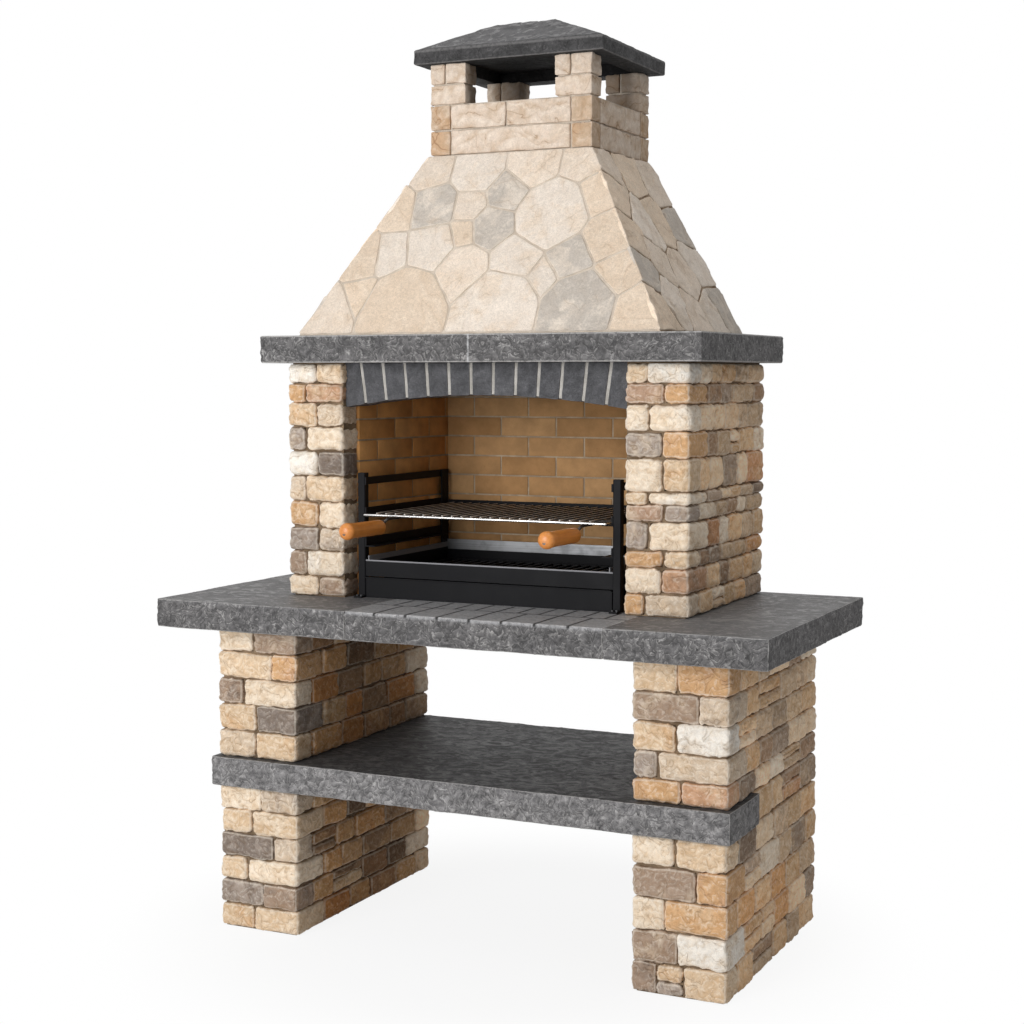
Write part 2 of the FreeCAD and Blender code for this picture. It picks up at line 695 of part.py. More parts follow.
def build_hood():
    """Hollow hood of four mitred walls, with flagstones let into three of them."""
    edge = FLAG_JOINT / 2
    rise = HOOD_HEIGHT
    lean = STACK_FRONT - HOOD_FRONT
    slope = math.hypot(lean, rise)
    spread = 4 * FLAG_PROUD
    outline = [
        (-HOOD_HALF - spread, edge),
        (HOOD_HALF + spread, edge),
        (STACK_HALF + spread, slope - edge),
        (-STACK_HALF - spread, slope - edge),
    ]
    seeds = [(across * HOOD_HALF, up * slope, reach) for across, up, reach in FRONT_FLAGS]
    front_ends = ((-1, True), (1, True))
    region = hood_wall(front_ends, FLAG_PROUD, -FLAG_BED, 0, 0)
    front_flags = flag_solids(
        flag_outlines(seeds, outline),
        V(0, HOOD_FRONT, MANTEL_TOP),
        V(1, 0, 0),
        V(0, lean, rise) / slope,
        region,
    )
    save("hood_front_flags", front_flags)
    front_wall = hood_wall(front_ends, 0, -HOOD_WALL, 0, 0)
    back_wall = hood_wall(((1, False), (-1, False)), 0, -HOOD_WALL, 0, -HOOD_WALL)

    depth = HOOD_BACK - HOOD_FRONT
    tilt = HOOD_HALF - STACK_HALF
    side_slope = math.hypot(tilt, rise)
    for name, side, quoins, seed in (("left", -1, LEFT_QUOINS, 5), ("right", 1, RIGHT_QUOINS, 8)):
        high = side_slope - edge
        outline = [(-spread, edge), (depth, edge), (depth, high), (lean - spread, high)]
        seeds = side_flag_seeds(quoins, lean, side_slope, depth, seed)
        ends = ((side, True), (side, False))
        flags = flag_solids(
            flag_outlines(seeds, outline),
            V(side * HOOD_HALF, HOOD_FRONT, MANTEL_TOP),
            V(0, 1, 0),
            V(-side * tilt, 0, rise) / side_slope,
            hood_wall(ends, FLAG_PROUD, -FLAG_BED, 0, -FLAG_BED),
        )
        wall = hood_wall(ends, 0, -HOOD_WALL, 0, -HOOD_WALL)
        save(f"hood_{name}_flags", flags)
        save(f"hood_{name}_wall", [wall.cut(flags)])
    save("hood_front_wall", [front_wall.cut(front_flags)])
    save("hood_back_wall", [back_wall])


def build_stack():
    """Two courses of blocks round the flue, four posts over them and the mortar between."""
    x0, x1, y0, y1 = -STACK_HALF, STACK_HALF, STACK_FRONT, HOOD_BACK
    half = STACK_JOINT / 2
    inset = STACK_ARRIS + STACK_JOINT / 2
    all_blocks = []
    for course, name, front_parts, side_parts in (
        (0, "lower", (1,), (3, 1)),
        (1, "upper", (47, 53), (3, 2)),
    ):
        bottom = HOOD_TOP + course * STACK_COURSE_HEIGHT + half
        top = HOOD_TOP + (course + 1) * STACK_COURSE_HEIGHT - half
        blocks = []
        for left, right, x_face in ((x0, x0 + STACK_WALL, "left"), (x1 - STACK_WALL, x1, "right")):
            for near, far, y_face in ((y0, y0 + STACK_WALL, "front"), (y1 - STACK_WALL, y1, "back")):
                quoin = (
                    left if x_face == "left" else left + half,
                    right if x_face == "right" else right - half,
                    near if y_face == "front" else near + half,
                    far if y_face == "back" else far - half,
                    bottom,
                    top,
                )
                blocks.append(eased_block(quoin, {x_face, y_face}, STACK_ARRIS))
            for near, far in running_sums(y0 + STACK_WALL, y1 - STACK_WALL, side_parts):
                bounds = (left, right, near + half, far - half, bottom, top)
                blocks.append(eased_block(bounds, {x_face}, STACK_ARRIS))
        for near, far, y_face in ((y0, y0 + STACK_WALL, "front"), (y1 - STACK_WALL, y1, "back")):
            for left, right in running_sums(x0 + STACK_WALL, x1 - STACK_WALL, front_parts):
                bounds = (left + half, right - half, near, far, bottom, top)
                blocks.append(eased_block(bounds, {y_face}, STACK_ARRIS))
        save(f"stack_{name}_course", blocks)
        all_blocks.extend(blocks)
    posts = []
    fills = []
    for left, right, x_face in ((x0, x0 + POST_WIDTH, "left"), (x1 - POST_WIDTH, x1, "right")):
        for near, far in ((y0, y0 + POST_DEPTH), (y1 - POST_DEPTH, y1)):
            faces = {"left", "right", "front", "back"}
            middle = SILL + POST_BLOCK_HEIGHT
            bounds = (left, right, near, far, SILL + half, middle - half)
            posts.append(eased_block(bounds, faces, STACK_ARRIS))
            split = left + 0.42 * POST_WIDTH
            for start, end in ((left, split - half), (split + half, right)):
                shown = {"front", "back", "left" if start == left else "right"}
                bounds = (start, end, near, far, middle + half, CAP_BOTTOM)
                posts.append(eased_block(bounds, shown, STACK_ARRIS))
            fills.append(box(left + inset, right - inset, near + inset, far - inset, SILL, CAP_BOTTOM))
    save("stack_posts", posts)
    ring = box(x0 + inset, x1 - inset, y0 + inset, y1 - inset, HOOD_TOP, SILL)
    flue = box(x0 + STACK_WALL, x1 - STACK_WALL, y0 + STACK_WALL, y1 - STACK_WALL, HOOD_TOP, SILL)
    mortar = ring.cut(flue).cut(all_blocks).Solids
    for fill in fills:
        mortar.extend(fill.cut(posts).Solids)
    save("stack_mortar", mortar)


def build_cap():
    """Hipped cap on the posts, with a flat top and hollowed inside its rim."""
    half = STACK_HALF + CAP_END_OVERHANG
    front = STACK_FRONT - CAP_FRONT_OVERHANG
    back = HOOD_BACK + CAP_FRONT_OVERHANG
    eaves = CAP_BOTTOM + CAP_EDGE
    middle = (front + back) / 2
    top_half = CAP_TOP_WIDTH / 2
    top_front = middle - CAP_TOP_DEPTH / 2
    top_back = middle + CAP_TOP_DEPTH / 2
    rings = []
    for x, y0, y1, z in (
        (half, front, back, CAP_BOTTOM),
        (half, front, back, eaves),
        (top_half, top_front, top_back, eaves + CAP_RISE),
    ):
        rings.append([V(-x, y0, z), V(x, y0, z), V(x, y1, z), V(-x, y1, z)])
    faces = [rings[0], rings[-1]]
    for low, high in zip(rings, rings[1:]):
        for number in range(4):
            following = (number + 1) % 4
            faces.append([low[number], low[following], high[following], high[number]])
    recess = box(
        -half + CAP_RIM, half - CAP_RIM, front + CAP_RIM, back - CAP_RIM, CAP_BOTTOM, CAP_BOTTOM + CAP_RECESS
    )
    save("chimney_cap", [polyhedron(faces).cut(recess)])


def build_frame():
    """Two side frames that carry the fire tray and the cooking grill."""
    base = WORKTOP_HEIGHT
    post_back = INSERT_FRONT + POST_SIZE
    post_outer = RAIL_OUTER + POST_SIZE
    foot = box(RAIL_OUTER, post_outer, post_back - FOOT_LENGTH, post_back, base, base + FOOT_THICK)
    bolts = []
    bolt_y = (post_back - FOOT_LENGTH + INSERT_FRONT) / 2
    for shift in (-BOLT_SPACING / 2, BOLT_SPACING / 2):
        seat = V(RAIL_OUTER + POST_SIZE / 2 + shift, bolt_y, base + FOOT_THICK)
        corners = [seat + V(BOLT_RADIUS * math.cos(a), BOLT_RADIUS * math.sin(a), 0)
                   for a in [math.radians(60 * step) for step in range(6)]]
        bolts.append(Part.Face(Part.makePolygon(corners + corners[:1])).extrude(V(0, 0, BOLT_HEIGHT)))
    tube = box(RAIL_OUTER, post_outer, INSERT_FRONT, post_back, base + FOOT_THICK, base + POST_TOP)
    bore = box(
        RAIL_OUTER + POST_WALL, post_outer - POST_WALL,
        INSERT_FRONT + POST_WALL, post_back - POST_WALL,
        base + FOOT_THICK, base + POST_TOP,
    )
    uprights = [edge for edge in tube.Edges if edge.BoundBox.ZLength > 1]
    tube = tube.makeChamfer(POST_WALL, uprights).cut(bore)
    post_top = base + POST_TOP
    cap = box(RAIL_OUTER, post_outer, INSERT_FRONT, post_back, post_top, post_top + POST_CAP_HEIGHT)
    save("right_front_post", [tube])
    save("left_front_post", [mirrored(tube)])
    save("post_caps", pair(cap.makeChamfer(POST_WALL, [e for e in cap.Edges if e.BoundBox.ZLength > 1])))
    save("post_feet", pair(foot))
    save("anchor_bolts", bolts + [mirrored(bolt) for bolt in bolts])

    rail_bottom = base + RAIL_LEVEL
    rail_top = rail_bottom + RAIL_HEIGHT
    rear_post = box(REAR_POST_INNER, RAIL_INNER, REAR_POST_FRONT, INSERT_BACK, base, rail_top)
    save("rear_posts", pair(rear_post))
    rail = box(RAIL_INNER, RAIL_OUTER, INSERT_FRONT, INSERT_BACK, rail_bottom, rail_top)
    save("top_rails", pair(rail))
    for name, level in (("upper", UPPER_RUNNER_LEVEL), ("lower", LOWER_RUNNER_LEVEL)):
        upright = box(
            RAIL_INNER, RAIL_OUTER, INSERT_FRONT, INSERT_BACK, base + level, base + level + RUNNER_HEIGHT
        )
        ledge = box(
            RAIL_INNER - RUNNER_LEDGE, RAIL_INNER, INSERT_FRONT, REAR_POST_FRONT - FRAME_GAP,
            base + level, base + level + RUNNER_SHEET,
        )
        save(f"{name}_runners", pair(upright.fuse(ledge).removeSplitter()))
    crossbar = box(
        -REAR_POST_INNER, REAR_POST_INNER, INSERT_BACK - RAIL_THICK, INSERT_BACK,
        UPPER_RUNNER_TOP, UPPER_RUNNER_TOP + CROSSBAR_HEIGHT,
    )
    save("rear_crossbar", [crossbar])


def build_fire_tray():
    """Open tray between the posts, a ledge round its foot, the grate on the ledge and a guard behind."""
    base = WORKTOP_HEIGHT
    bottom = base + TRAY_BOTTOM
    outer = REAR_POST_INNER
    front = INSERT_FRONT + RUNNER_SHEET
    back = INSERT_BACK - POST_SIZE / 2
    inner = outer - TRAY_SHEET
    pieces = [
        box(-RAIL_OUTER, RAIL_OUTER, front, front + TRAY_SHEET, bottom, bottom + TRAY_FRONT_HEIGHT),
        box(inner, outer, front, back, bottom, bottom + TRAY_SIDE_HEIGHT),
        box(-outer, -inner, front, back, bottom, bottom + TRAY_SIDE_HEIGHT),
        box(-outer, outer, back - TRAY_SHEET, back, bottom, bottom + TRAY_BACK_HEIGHT),
    ]
    floor = box(-outer, outer, front, back, bottom, bottom + TRAY_SHEET)
    mouth_half = inner - TRAY_LEDGE
    mouth = box(
        -mouth_half, mouth_half, front + TRAY_LEDGE, back - TRAY_LEDGE, bottom, bottom + TRAY_SHEET
    )
    tray = floor.cut(mouth).fuse(pieces).removeSplitter()
    save("fire_tray", [tray])
    guard = box(-outer, outer, back, back + GUARD_THICK, bottom, bottom + GUARD_HEIGHT)
    save("rear_guard", [guard])

    seat = bottom + TRAY_SHEET
    half = inner - GRATE_SIDE_GAP
    near = front + TRAY_SHEET + GRATE_SIDE_GAP
    far = back - TRAY_SHEET - GRATE_SIDE_GAP
    frame = box(-half, half, near, far, seat, seat + GRATE_BAR_HEIGHT)
    inside = box(
        -half + GRATE_BAR_DEPTH, half - GRATE_BAR_DEPTH, near + GRATE_BAR_DEPTH, far - GRATE_BAR_DEPTH,
        seat, seat + GRATE_BAR_HEIGHT,
    )
    save("charcoal_grate_frame", [frame.cut(inside)])
    span = 2 * (half - GRATE_BAR_DEPTH)
    count = round(span / GRATE_ROD_PITCH)
    rods = []
    for number in range(1, count):
        x = -span / 2 + span * number / count
        start = V(x, near + GRATE_BAR_DEPTH, seat + GRATE_BAR_HEIGHT / 2)
        length = far - near - 2 * GRATE_BAR_DEPTH
        rods.append(Part.makeCylinder(GRATE_ROD_RADIUS, length, start, V(0, 1, 0)))
    save("charcoal_grate_rods", rods)


def build_ash_drawer():
    """Shallow drawer of welded plates that stands on the worktop under the fire tray, with a lipped front."""
    base = WORKTOP_HEIGHT + DRAWER_SLIP
    half = REAR_POST_INNER - DRAWER_SIDE_GAP
    front = INSERT_FRONT + RUNNER_SHEET
    back = INSERT_BACK - POST_SIZE
    floor = base + DRAWER_SHEET
    rim = base + DRAWER_SIDE_HEIGHT
    inner = half - DRAWER_SHEET
    plates = [
        box(-half, half, front, back, base, floor),
        box(-half, -inner, front, back, floor, rim),
        box(inner, half, front, back, floor, rim),
        box(-inner, inner, front, front + DRAWER_SHEET, floor, rim),
        box(-inner, inner, back - DRAWER_SHEET, back, floor, rim),
    ]
    save("ash_drawer_tray", plates)
    front_half = RAIL_OUTER - DRAWER_FRONT_GAP
    top = WORKTOP_HEIGHT + DRAWER_FRONT_TOP
    face = box(-front_half, front_half, front - DRAWER_SHEET, front, base, top)
    lip_back = front - DRAWER_SHEET
    lip = box(-front_half, front_half, lip_back - DRAWER_LIP, lip_back, top - DRAWER_SHEET, top)
    save("ash_drawer_front", [face.fuse(lip).removeSplitter()])


def build_grill():
    """Cooking grill of wires on cross rods, drawn out by two rods with wooden grips."""
    rod_z = UPPER_RUNNER_TOP + GRILL_LIFT + GRILL_ROD_RADIUS
    rod_end = RAIL_INNER - GRILL_ROD_END_GAP
    first = INSERT_FRONT - GRILL_FRONT_OVERRUN
    last = REAR_POST_FRONT - GRILL_REAR_GAP - GRILL_WIRE_OVERRUN
    rod_pitch = (last - first) / (GRILL_ROD_COUNT - 1)
    rod_places = [first + rod_pitch * number for number in range(GRILL_ROD_COUNT)]
    rods = []
    for y in rod_places:
        rods.append(Part.makeCylinder(GRILL_ROD_RADIUS, 2 * rod_end, V(-rod_end, y, rod_z), V(1, 0, 0)))
    save("grill_cross_rods", rods)
    wire_z = rod_z + GRILL_ROD_RADIUS + GRILL_WIRE_RADIUS
    start = first - GRILL_WIRE_OVERRUN
    length = last - first + 2 * GRILL_WIRE_OVERRUN
    wires = []
    for number in range(GRILL_WIRE_COUNT):
        x = GRILL_WIRE_SPAN * (number / (GRILL_WIRE_COUNT - 1) - 0.5)
        wires.append(Part.makeCylinder(GRILL_WIRE_RADIUS, length, V(x, start, wire_z), V(0, 1, 0)))
    save("grill_wires", wires)

    x = HANDLE_SPACING / 2
    under_z = rod_z - GRILL_ROD_RADIUS - HANDLE_ROD_RADIUS
    slope = math.radians(GRIP_SLOPE)
    forward = V(0, -math.cos(slope), -math.sin(slope))
    bend = V(x, first + 2 * HANDLE_ROD_RADIUS, under_z)
    grip_start = V(x, bend.y - HANDLE_DROP_LENGTH, under_z - HANDLE_DROP)
    grip_end = grip_start + forward * (FERRULE_LENGTH + GRIP_LENGTH)
    path = [V(x, rod_places[-2], under_z), bend, grip_start, grip_end]
    rod = None
    for begin, end in zip(path, path[1:]):
        reach = end - begin
        piece = Part.makeCylinder(HANDLE_ROD_RADIUS, reach.Length, begin, reach)
        rod = piece if rod is None else rod.fuse(piece)
    for corner in path[1:-1]:
        rod = rod.fuse(Part.makeSphere(HANDLE_ROD_RADIUS, corner))
    save("handle_rods", pair(rod.removeSplitter()))

    bore = HANDLE_ROD_RADIUS + GRIP_BORE_SLIP
    ferrule = Part.makeCylinder(FERRULE_RADIUS, FERRULE_LENGTH, grip_start, forward)
    ferrule = ferrule.cut(Part.makeCylinder(bore, FERRULE_LENGTH, grip_start, forward))
    save("handle_ferrules", pair(ferrule))
    neck = GRIP_RADIUS - GRIP_END_RADIUS
    swell = Part.BSplineCurve()
    swell.interpolate([
        V(GRIP_RADIUS, 0, GRIP_END_RADIUS),
        V(GRIP_RADIUS, 0, GRIP_LENGTH * 0.25),
        V(GRIP_WAIST, 0, GRIP_LENGTH * 0.62),
        V(GRIP_RADIUS, 0, GRIP_LENGTH - GRIP_END_RADIUS),
    ])
    turn = GRIP_END_RADIUS * math.sqrt(0.5)
    rear_round = Part.Arc(
        V(neck, 0, 0), V(neck + turn, 0, GRIP_END_RADIUS - turn), V(GRIP_RADIUS, 0, GRIP_END_RADIUS)
    )
    front_round = Part.Arc(
        V(GRIP_RADIUS, 0, GRIP_LENGTH - GRIP_END_RADIUS),
        V(neck + turn, 0, GRIP_LENGTH - GRIP_END_RADIUS + turn),
        V(neck, 0, GRIP_LENGTH),
    )
    wire = Part.Wire([
        Part.makeLine(V(bore, 0, 0), V(neck, 0, 0)),
        rear_round.toShape(),
        swell.toShape(),
        front_round.toShape(),
        Part.makeLine(V(neck, 0, GRIP_LENGTH), V(bore, 0, GRIP_LENGTH)),
        Part.makeLine(V(bore, 0, GRIP_LENGTH), V(bore, 0, 0)),
    ])
    grip = Part.Face(wire).revolve(V(0, 0, 0), V(0, 0, 1), 360)
    grip.Placement = FreeCAD.Placement(
        grip_start + forward * FERRULE_LENGTH, FreeCAD.Rotation(V(0, 0, 1), forward)
    )
    save("wooden_grips", pair(grip))


os.makedirs("parts", exist_ok=True)
build_worktop()
build_legs()
build_shelf()
build_pillars()
build_lining()
build_arch()
build_mantel()
build_hood()
build_stack()
build_cap()
build_frame()
build_fire_tray()
build_ash_drawer()
build_grill()
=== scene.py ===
"""Looks of a masonry barbecue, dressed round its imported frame.

Each sub-assembly reads its places from the frame, works its surfaces out as whole numpy arrays and
gets a procedural finish. Lengths are in metres; X runs to the right, Y to the back and Z up.
"""

import logging
import math
from dataclasses import dataclass, field
from enum import Enum
from typing import Iterable, Sequence

import bpy
import numpy as np
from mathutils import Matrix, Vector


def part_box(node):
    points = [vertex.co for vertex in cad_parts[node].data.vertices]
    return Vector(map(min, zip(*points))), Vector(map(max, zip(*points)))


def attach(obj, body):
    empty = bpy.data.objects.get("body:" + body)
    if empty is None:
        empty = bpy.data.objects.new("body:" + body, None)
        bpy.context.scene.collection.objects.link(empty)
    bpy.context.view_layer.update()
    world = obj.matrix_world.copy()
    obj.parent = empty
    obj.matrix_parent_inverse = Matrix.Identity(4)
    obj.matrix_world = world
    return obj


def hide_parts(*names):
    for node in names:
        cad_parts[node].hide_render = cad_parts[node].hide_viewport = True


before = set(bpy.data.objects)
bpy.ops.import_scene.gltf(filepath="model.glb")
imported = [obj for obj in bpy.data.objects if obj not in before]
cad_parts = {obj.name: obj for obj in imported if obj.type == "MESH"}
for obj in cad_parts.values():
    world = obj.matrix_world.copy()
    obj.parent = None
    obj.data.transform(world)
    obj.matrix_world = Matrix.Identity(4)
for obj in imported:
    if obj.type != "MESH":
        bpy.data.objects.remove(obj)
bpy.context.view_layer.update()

LOG = logging.getLogger("barbecue")
MM = 0.001
HASH_STRIDES = np.array([374761393, 668265263, 1103515245])
HASH_SEED = 974634541
HASH_STIR = 1274126177
HASH_MASK = 0xFFFFFFFF
HALF_MASK = 0xFFFF

Array = np.ndarray
Faces = list[list[int]]
Socket = bpy.types.NodeSocket
Piece = bpy.types.Object
Material = bpy.types.Material
Colour = tuple[int, int, int]
Triple = tuple[float, float, float]


class Tone(Enum):
    """Tones of the coursed stones.

    Each has the letter that the course plans use, its colour, the letters of the tones that its patches
    may have, and its share among the stones beside the front.
    """

    TAN = ("t", (222, 196, 165), "oc", 0.25)
    BEIGE = ("e", (214, 195, 173), "gt", 0.21)
    CREAM = ("c", (238, 220, 197), "tw", 0.14)
    ORANGE = ("o", (214, 173, 130), "tr", 0.09)
    GREY = ("g", (172, 158, 147), "ed", 0.09)
    BROWN = ("b", (168, 146, 128), "ed", 0.08)
    WHITE = ("w", (243, 236, 226), "ce", 0.07)
    RUST = ("r", (201, 160, 129), "tb", 0.03)
    DARK = ("d", (132, 120, 111), "bg", 0.04)
    MAUVE = ("m", (188, 158, 136), "et", 0.0)

    def __init__(self, letter: str, colour: Colour, accents: str, share: float) -> None:
        """Names the parts of a tone's value."""
        self.letter, self.colour, self.accents, self.share = letter, colour, accents, share

    @classmethod
    def of(cls, letter: str) -> "Tone":
        """The tone with the given letter."""
        return next(tone for tone in cls if tone.letter == letter)


# Painted light on the stones: a warm bounce light beside the front, and painted shade on those that look
# inwards to the other leg or pillar
SIDE_BOUNCE_LIGHT = np.array([1.14, 1.03, 0.90, 1.0])
INNER_PAINTED_SHADE = np.array([0.72, 0.61, 0.48, 1.0])


def linear(colour: Sequence[float]) -> tuple[float, float, float, float]:
    """Light that a colour, as the eye reads it in steps of 0 to 255, gives off.

    Args:
        colour: Red, green and blue.

    Returns:
        Red, green and blue from 0 to 1 in proportion to light, and full cover.
    """
    share = np.asarray(colour, float) / 255
    light = np.where(share <= 0.04045, share / 12.92, ((share + 0.055) / 1.055) ** 2.4)
    return (*light.tolist(), 1.0)


def lattice_value(place: Array, seed: int) -> Array:
    """Random value from 0 to 1 for whole-number places, by a multiplicative hash.

    Args:
        place: Whole numbers, three to a place.
        seed: Changes every value.

    Returns:
        One value to a place.
    """
    mixed = (place @ HASH_STRIDES + seed * HASH_SEED) & HASH_MASK
    mixed = ((mixed ^ (mixed >> 13)) * HASH_STIR) & HASH_MASK
    return ((mixed ^ (mixed >> 16)) & HALF_MASK) / HALF_MASK


def lattice_noise(points: Array, wavelength: float, seed: int) -> Array:
    """Smooth noise from -1 to 1.

    Each corner of a cubic lattice has a random value. A point takes the mean of the eight corners
    round it, weighted along each axis by an ease of the fifth degree.

    Args:
        points: Places, three numbers each.
        wavelength: Side of a lattice cell.
        seed: Changes the pattern.

    Returns:
        One value to a point.
    """
    cell = points / wavelength
    corner = np.floor(cell).astype(np.int64)
    share = cell - corner
    ease = share**3 * (share * (6 * share - 15) + 10)
    total = np.zeros(cell.shape[:-1])
    for offset in np.ndindex(2, 2, 2):
        weight = np.prod(np.where(offset, ease, 1 - ease), axis=-1)
        total += weight * (2 * lattice_value(corner + np.array(offset), seed) - 1)
    return total


def fractal_noise(points: Array, wavelength: float, seed: int, octaves: int = 3) -> Array:
    """Sum of smooth noises, each of half the wavelength and half the height of the one before.

    Args:
        points: Places, three numbers each.
        wavelength: Side of the coarsest lattice cell.
        seed: Changes the pattern.
        octaves: How many noises are summed.

    Returns:
        One value to a point.
    """
    total = np.zeros(points.shape[:-1])
    for octave in range(octaves):
        total += lattice_noise(points, wavelength / 2**octave, seed + octave) / 2**octave
    return total


def facet_noise(points: Array, size: float, seed: int) -> Array:
    """Hewn facets, from about -1 to 1.

    Each cell of a cubic lattice holds one random seed. A point takes the plane of the seed nearest to
    it: the seed's random slope times the way from the seed to the point.

    Args:
        points: Places, three numbers each.
        size: Side of a lattice cell.
        seed: Changes the pattern.

    Returns:
        One value to a point.
    """
    cell = points / size
    corner = np.floor(cell).astype(np.int64)
    nearest = np.full(cell.shape[:-1], np.inf)
    level = np.zeros(cell.shape[:-1])
    for offset in np.ndindex(3, 3, 3):
        place = corner + np.array(offset) - 1
        jitter = np.stack([lattice_value(place, seed + axis) for axis in range(3)], axis=-1)
        slope = np.stack([lattice_value(place, seed + 3 + axis) for axis in range(3)], axis=-1)
        away = cell - place - jitter
        distance = (away**2).sum(axis=-1)
        closer = distance < nearest
        nearest = np.where(closer, distance, nearest)
        level = np.where(closer, (away * (2 * slope - 1)).sum(axis=-1), level)
    return level


def ease_between(value: Array, low: float, high: float) -> Array:
    """Smooth step from 0 at low to 1 at high: s * s * (3 - 2 s), with s the share of the way."""
    share = np.clip((value - low) / (high - low), 0, 1)
    return share * share * (3 - 2 * share)


def unit(vectors: Array) -> Array:
    """Vectors of the same directions and of length one."""
    return vectors / np.maximum(np.linalg.norm(vectors, axis=-1, keepdims=True), 1e-12)


@dataclass(frozen=True)
class Solids:
    """The separate solids of one CAD node.

    Attributes:
        points: Corner points of all solids, doubles merged.
        label: Number of the solid that each point belongs to.
    """

    points: Array
    label: Array

    @classmethod
    def of(cls, node: str) -> "Solids":
        """Reads a node's loose triangles and parts them into solids.

        Points at one place are merged. Every point starts with its own number, and takes the lowest
        number in its triangles over and over until none changes.

        Args:
            node: Name of the CAD node.

        Returns:
            The node's solids.
        """
        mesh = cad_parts[node].data
        places = np.zeros(len(mesh.vertices) * 3)
        mesh.vertices.foreach_get("co", places)
        mesh.calc_loop_triangles()
        triangles = np.zeros(len(mesh.loop_triangles) * 3, np.int32)
        mesh.loop_triangles.foreach_get("vertices", triangles)
        points, merged = np.unique(np.round(places.reshape(-1, 3), 5), axis=0, return_inverse=True)
        triangles = merged.ravel()[triangles].reshape(-1, 3)
        label = np.arange(len(points))
        changed = True
        while changed:
            before = label.copy()
            np.minimum.at(label, triangles, label[triangles].min(axis=1, keepdims=True))
            changed = bool((label != before).any())
        return cls(points, np.unique(label, return_inverse=True)[1].ravel())

    def boxes(self) -> tuple[Array, Array]:
        """Lowest and highest corner of each solid.

        Returns:
            Two arrays with a row to each solid.
        """
        count = self.label.max() + 1
        low = np.full((count, 3), np.inf)
        high = np.full((count, 3), -np.inf)
        np.minimum.at(low, self.label, self.points)
        np.maximum.at(high, self.label, self.points)
        return low, high

    def each(self) -> list[Array]:
        """The corner points of each solid in turn."""
        return [self.points[self.label == number] for number in range(self.label.max() + 1)]


def node_box(node: str) -> tuple[Array, Array]:
    """Lowest and highest corner of a CAD node, as arrays."""
    low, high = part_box(node)
    return np.array(low), np.array(high)


def box_corners(low: Array, high: Array) -> Array:
    """Corners of boxes, in the order that the block grid reads.

    Args:
        low: Lowest corners, a row to each box.
        high: Highest corners, a row to each box.

    Returns:
        Corners indexed by box, then by low or high along X, Y and Z.
    """
    ends = np.stack([low, high], axis=1)
    corners = np.zeros((len(low), 2, 2, 2, 3))
    for place in np.ndindex(2, 2, 2):
        corners[(slice(None), *place)] = np.stack([ends[:, place[axis], axis] for axis in range(3)], axis=-1)
    return corners


@dataclass(frozen=True)
class Surface:
    """Points of equal blocks, with what the finish and the wear need to know of each point.

    Attributes:
        points: Places, indexed by block and point.
        normals: Directions outwards.
        edge: Nearness to an arris, from 0 on a flat to 1 on the arris.
        share: Place within the block along its own axes, from 0 to 1.
        quads: Corners of the faces of one block.
    """

    points: Array
    normals: Array
    edge: Array
    share: Array
    quads: Array

    def faces(self) -> Faces:
        """Faces of all blocks, numbered through.

        Returns:
            Point numbers of each face.
        """
        blocks, count = self.points.shape[:2]
        steps = np.arange(blocks)[:, None, None] * count
        return (self.quads[None] + steps).reshape(-1, 4).tolist()


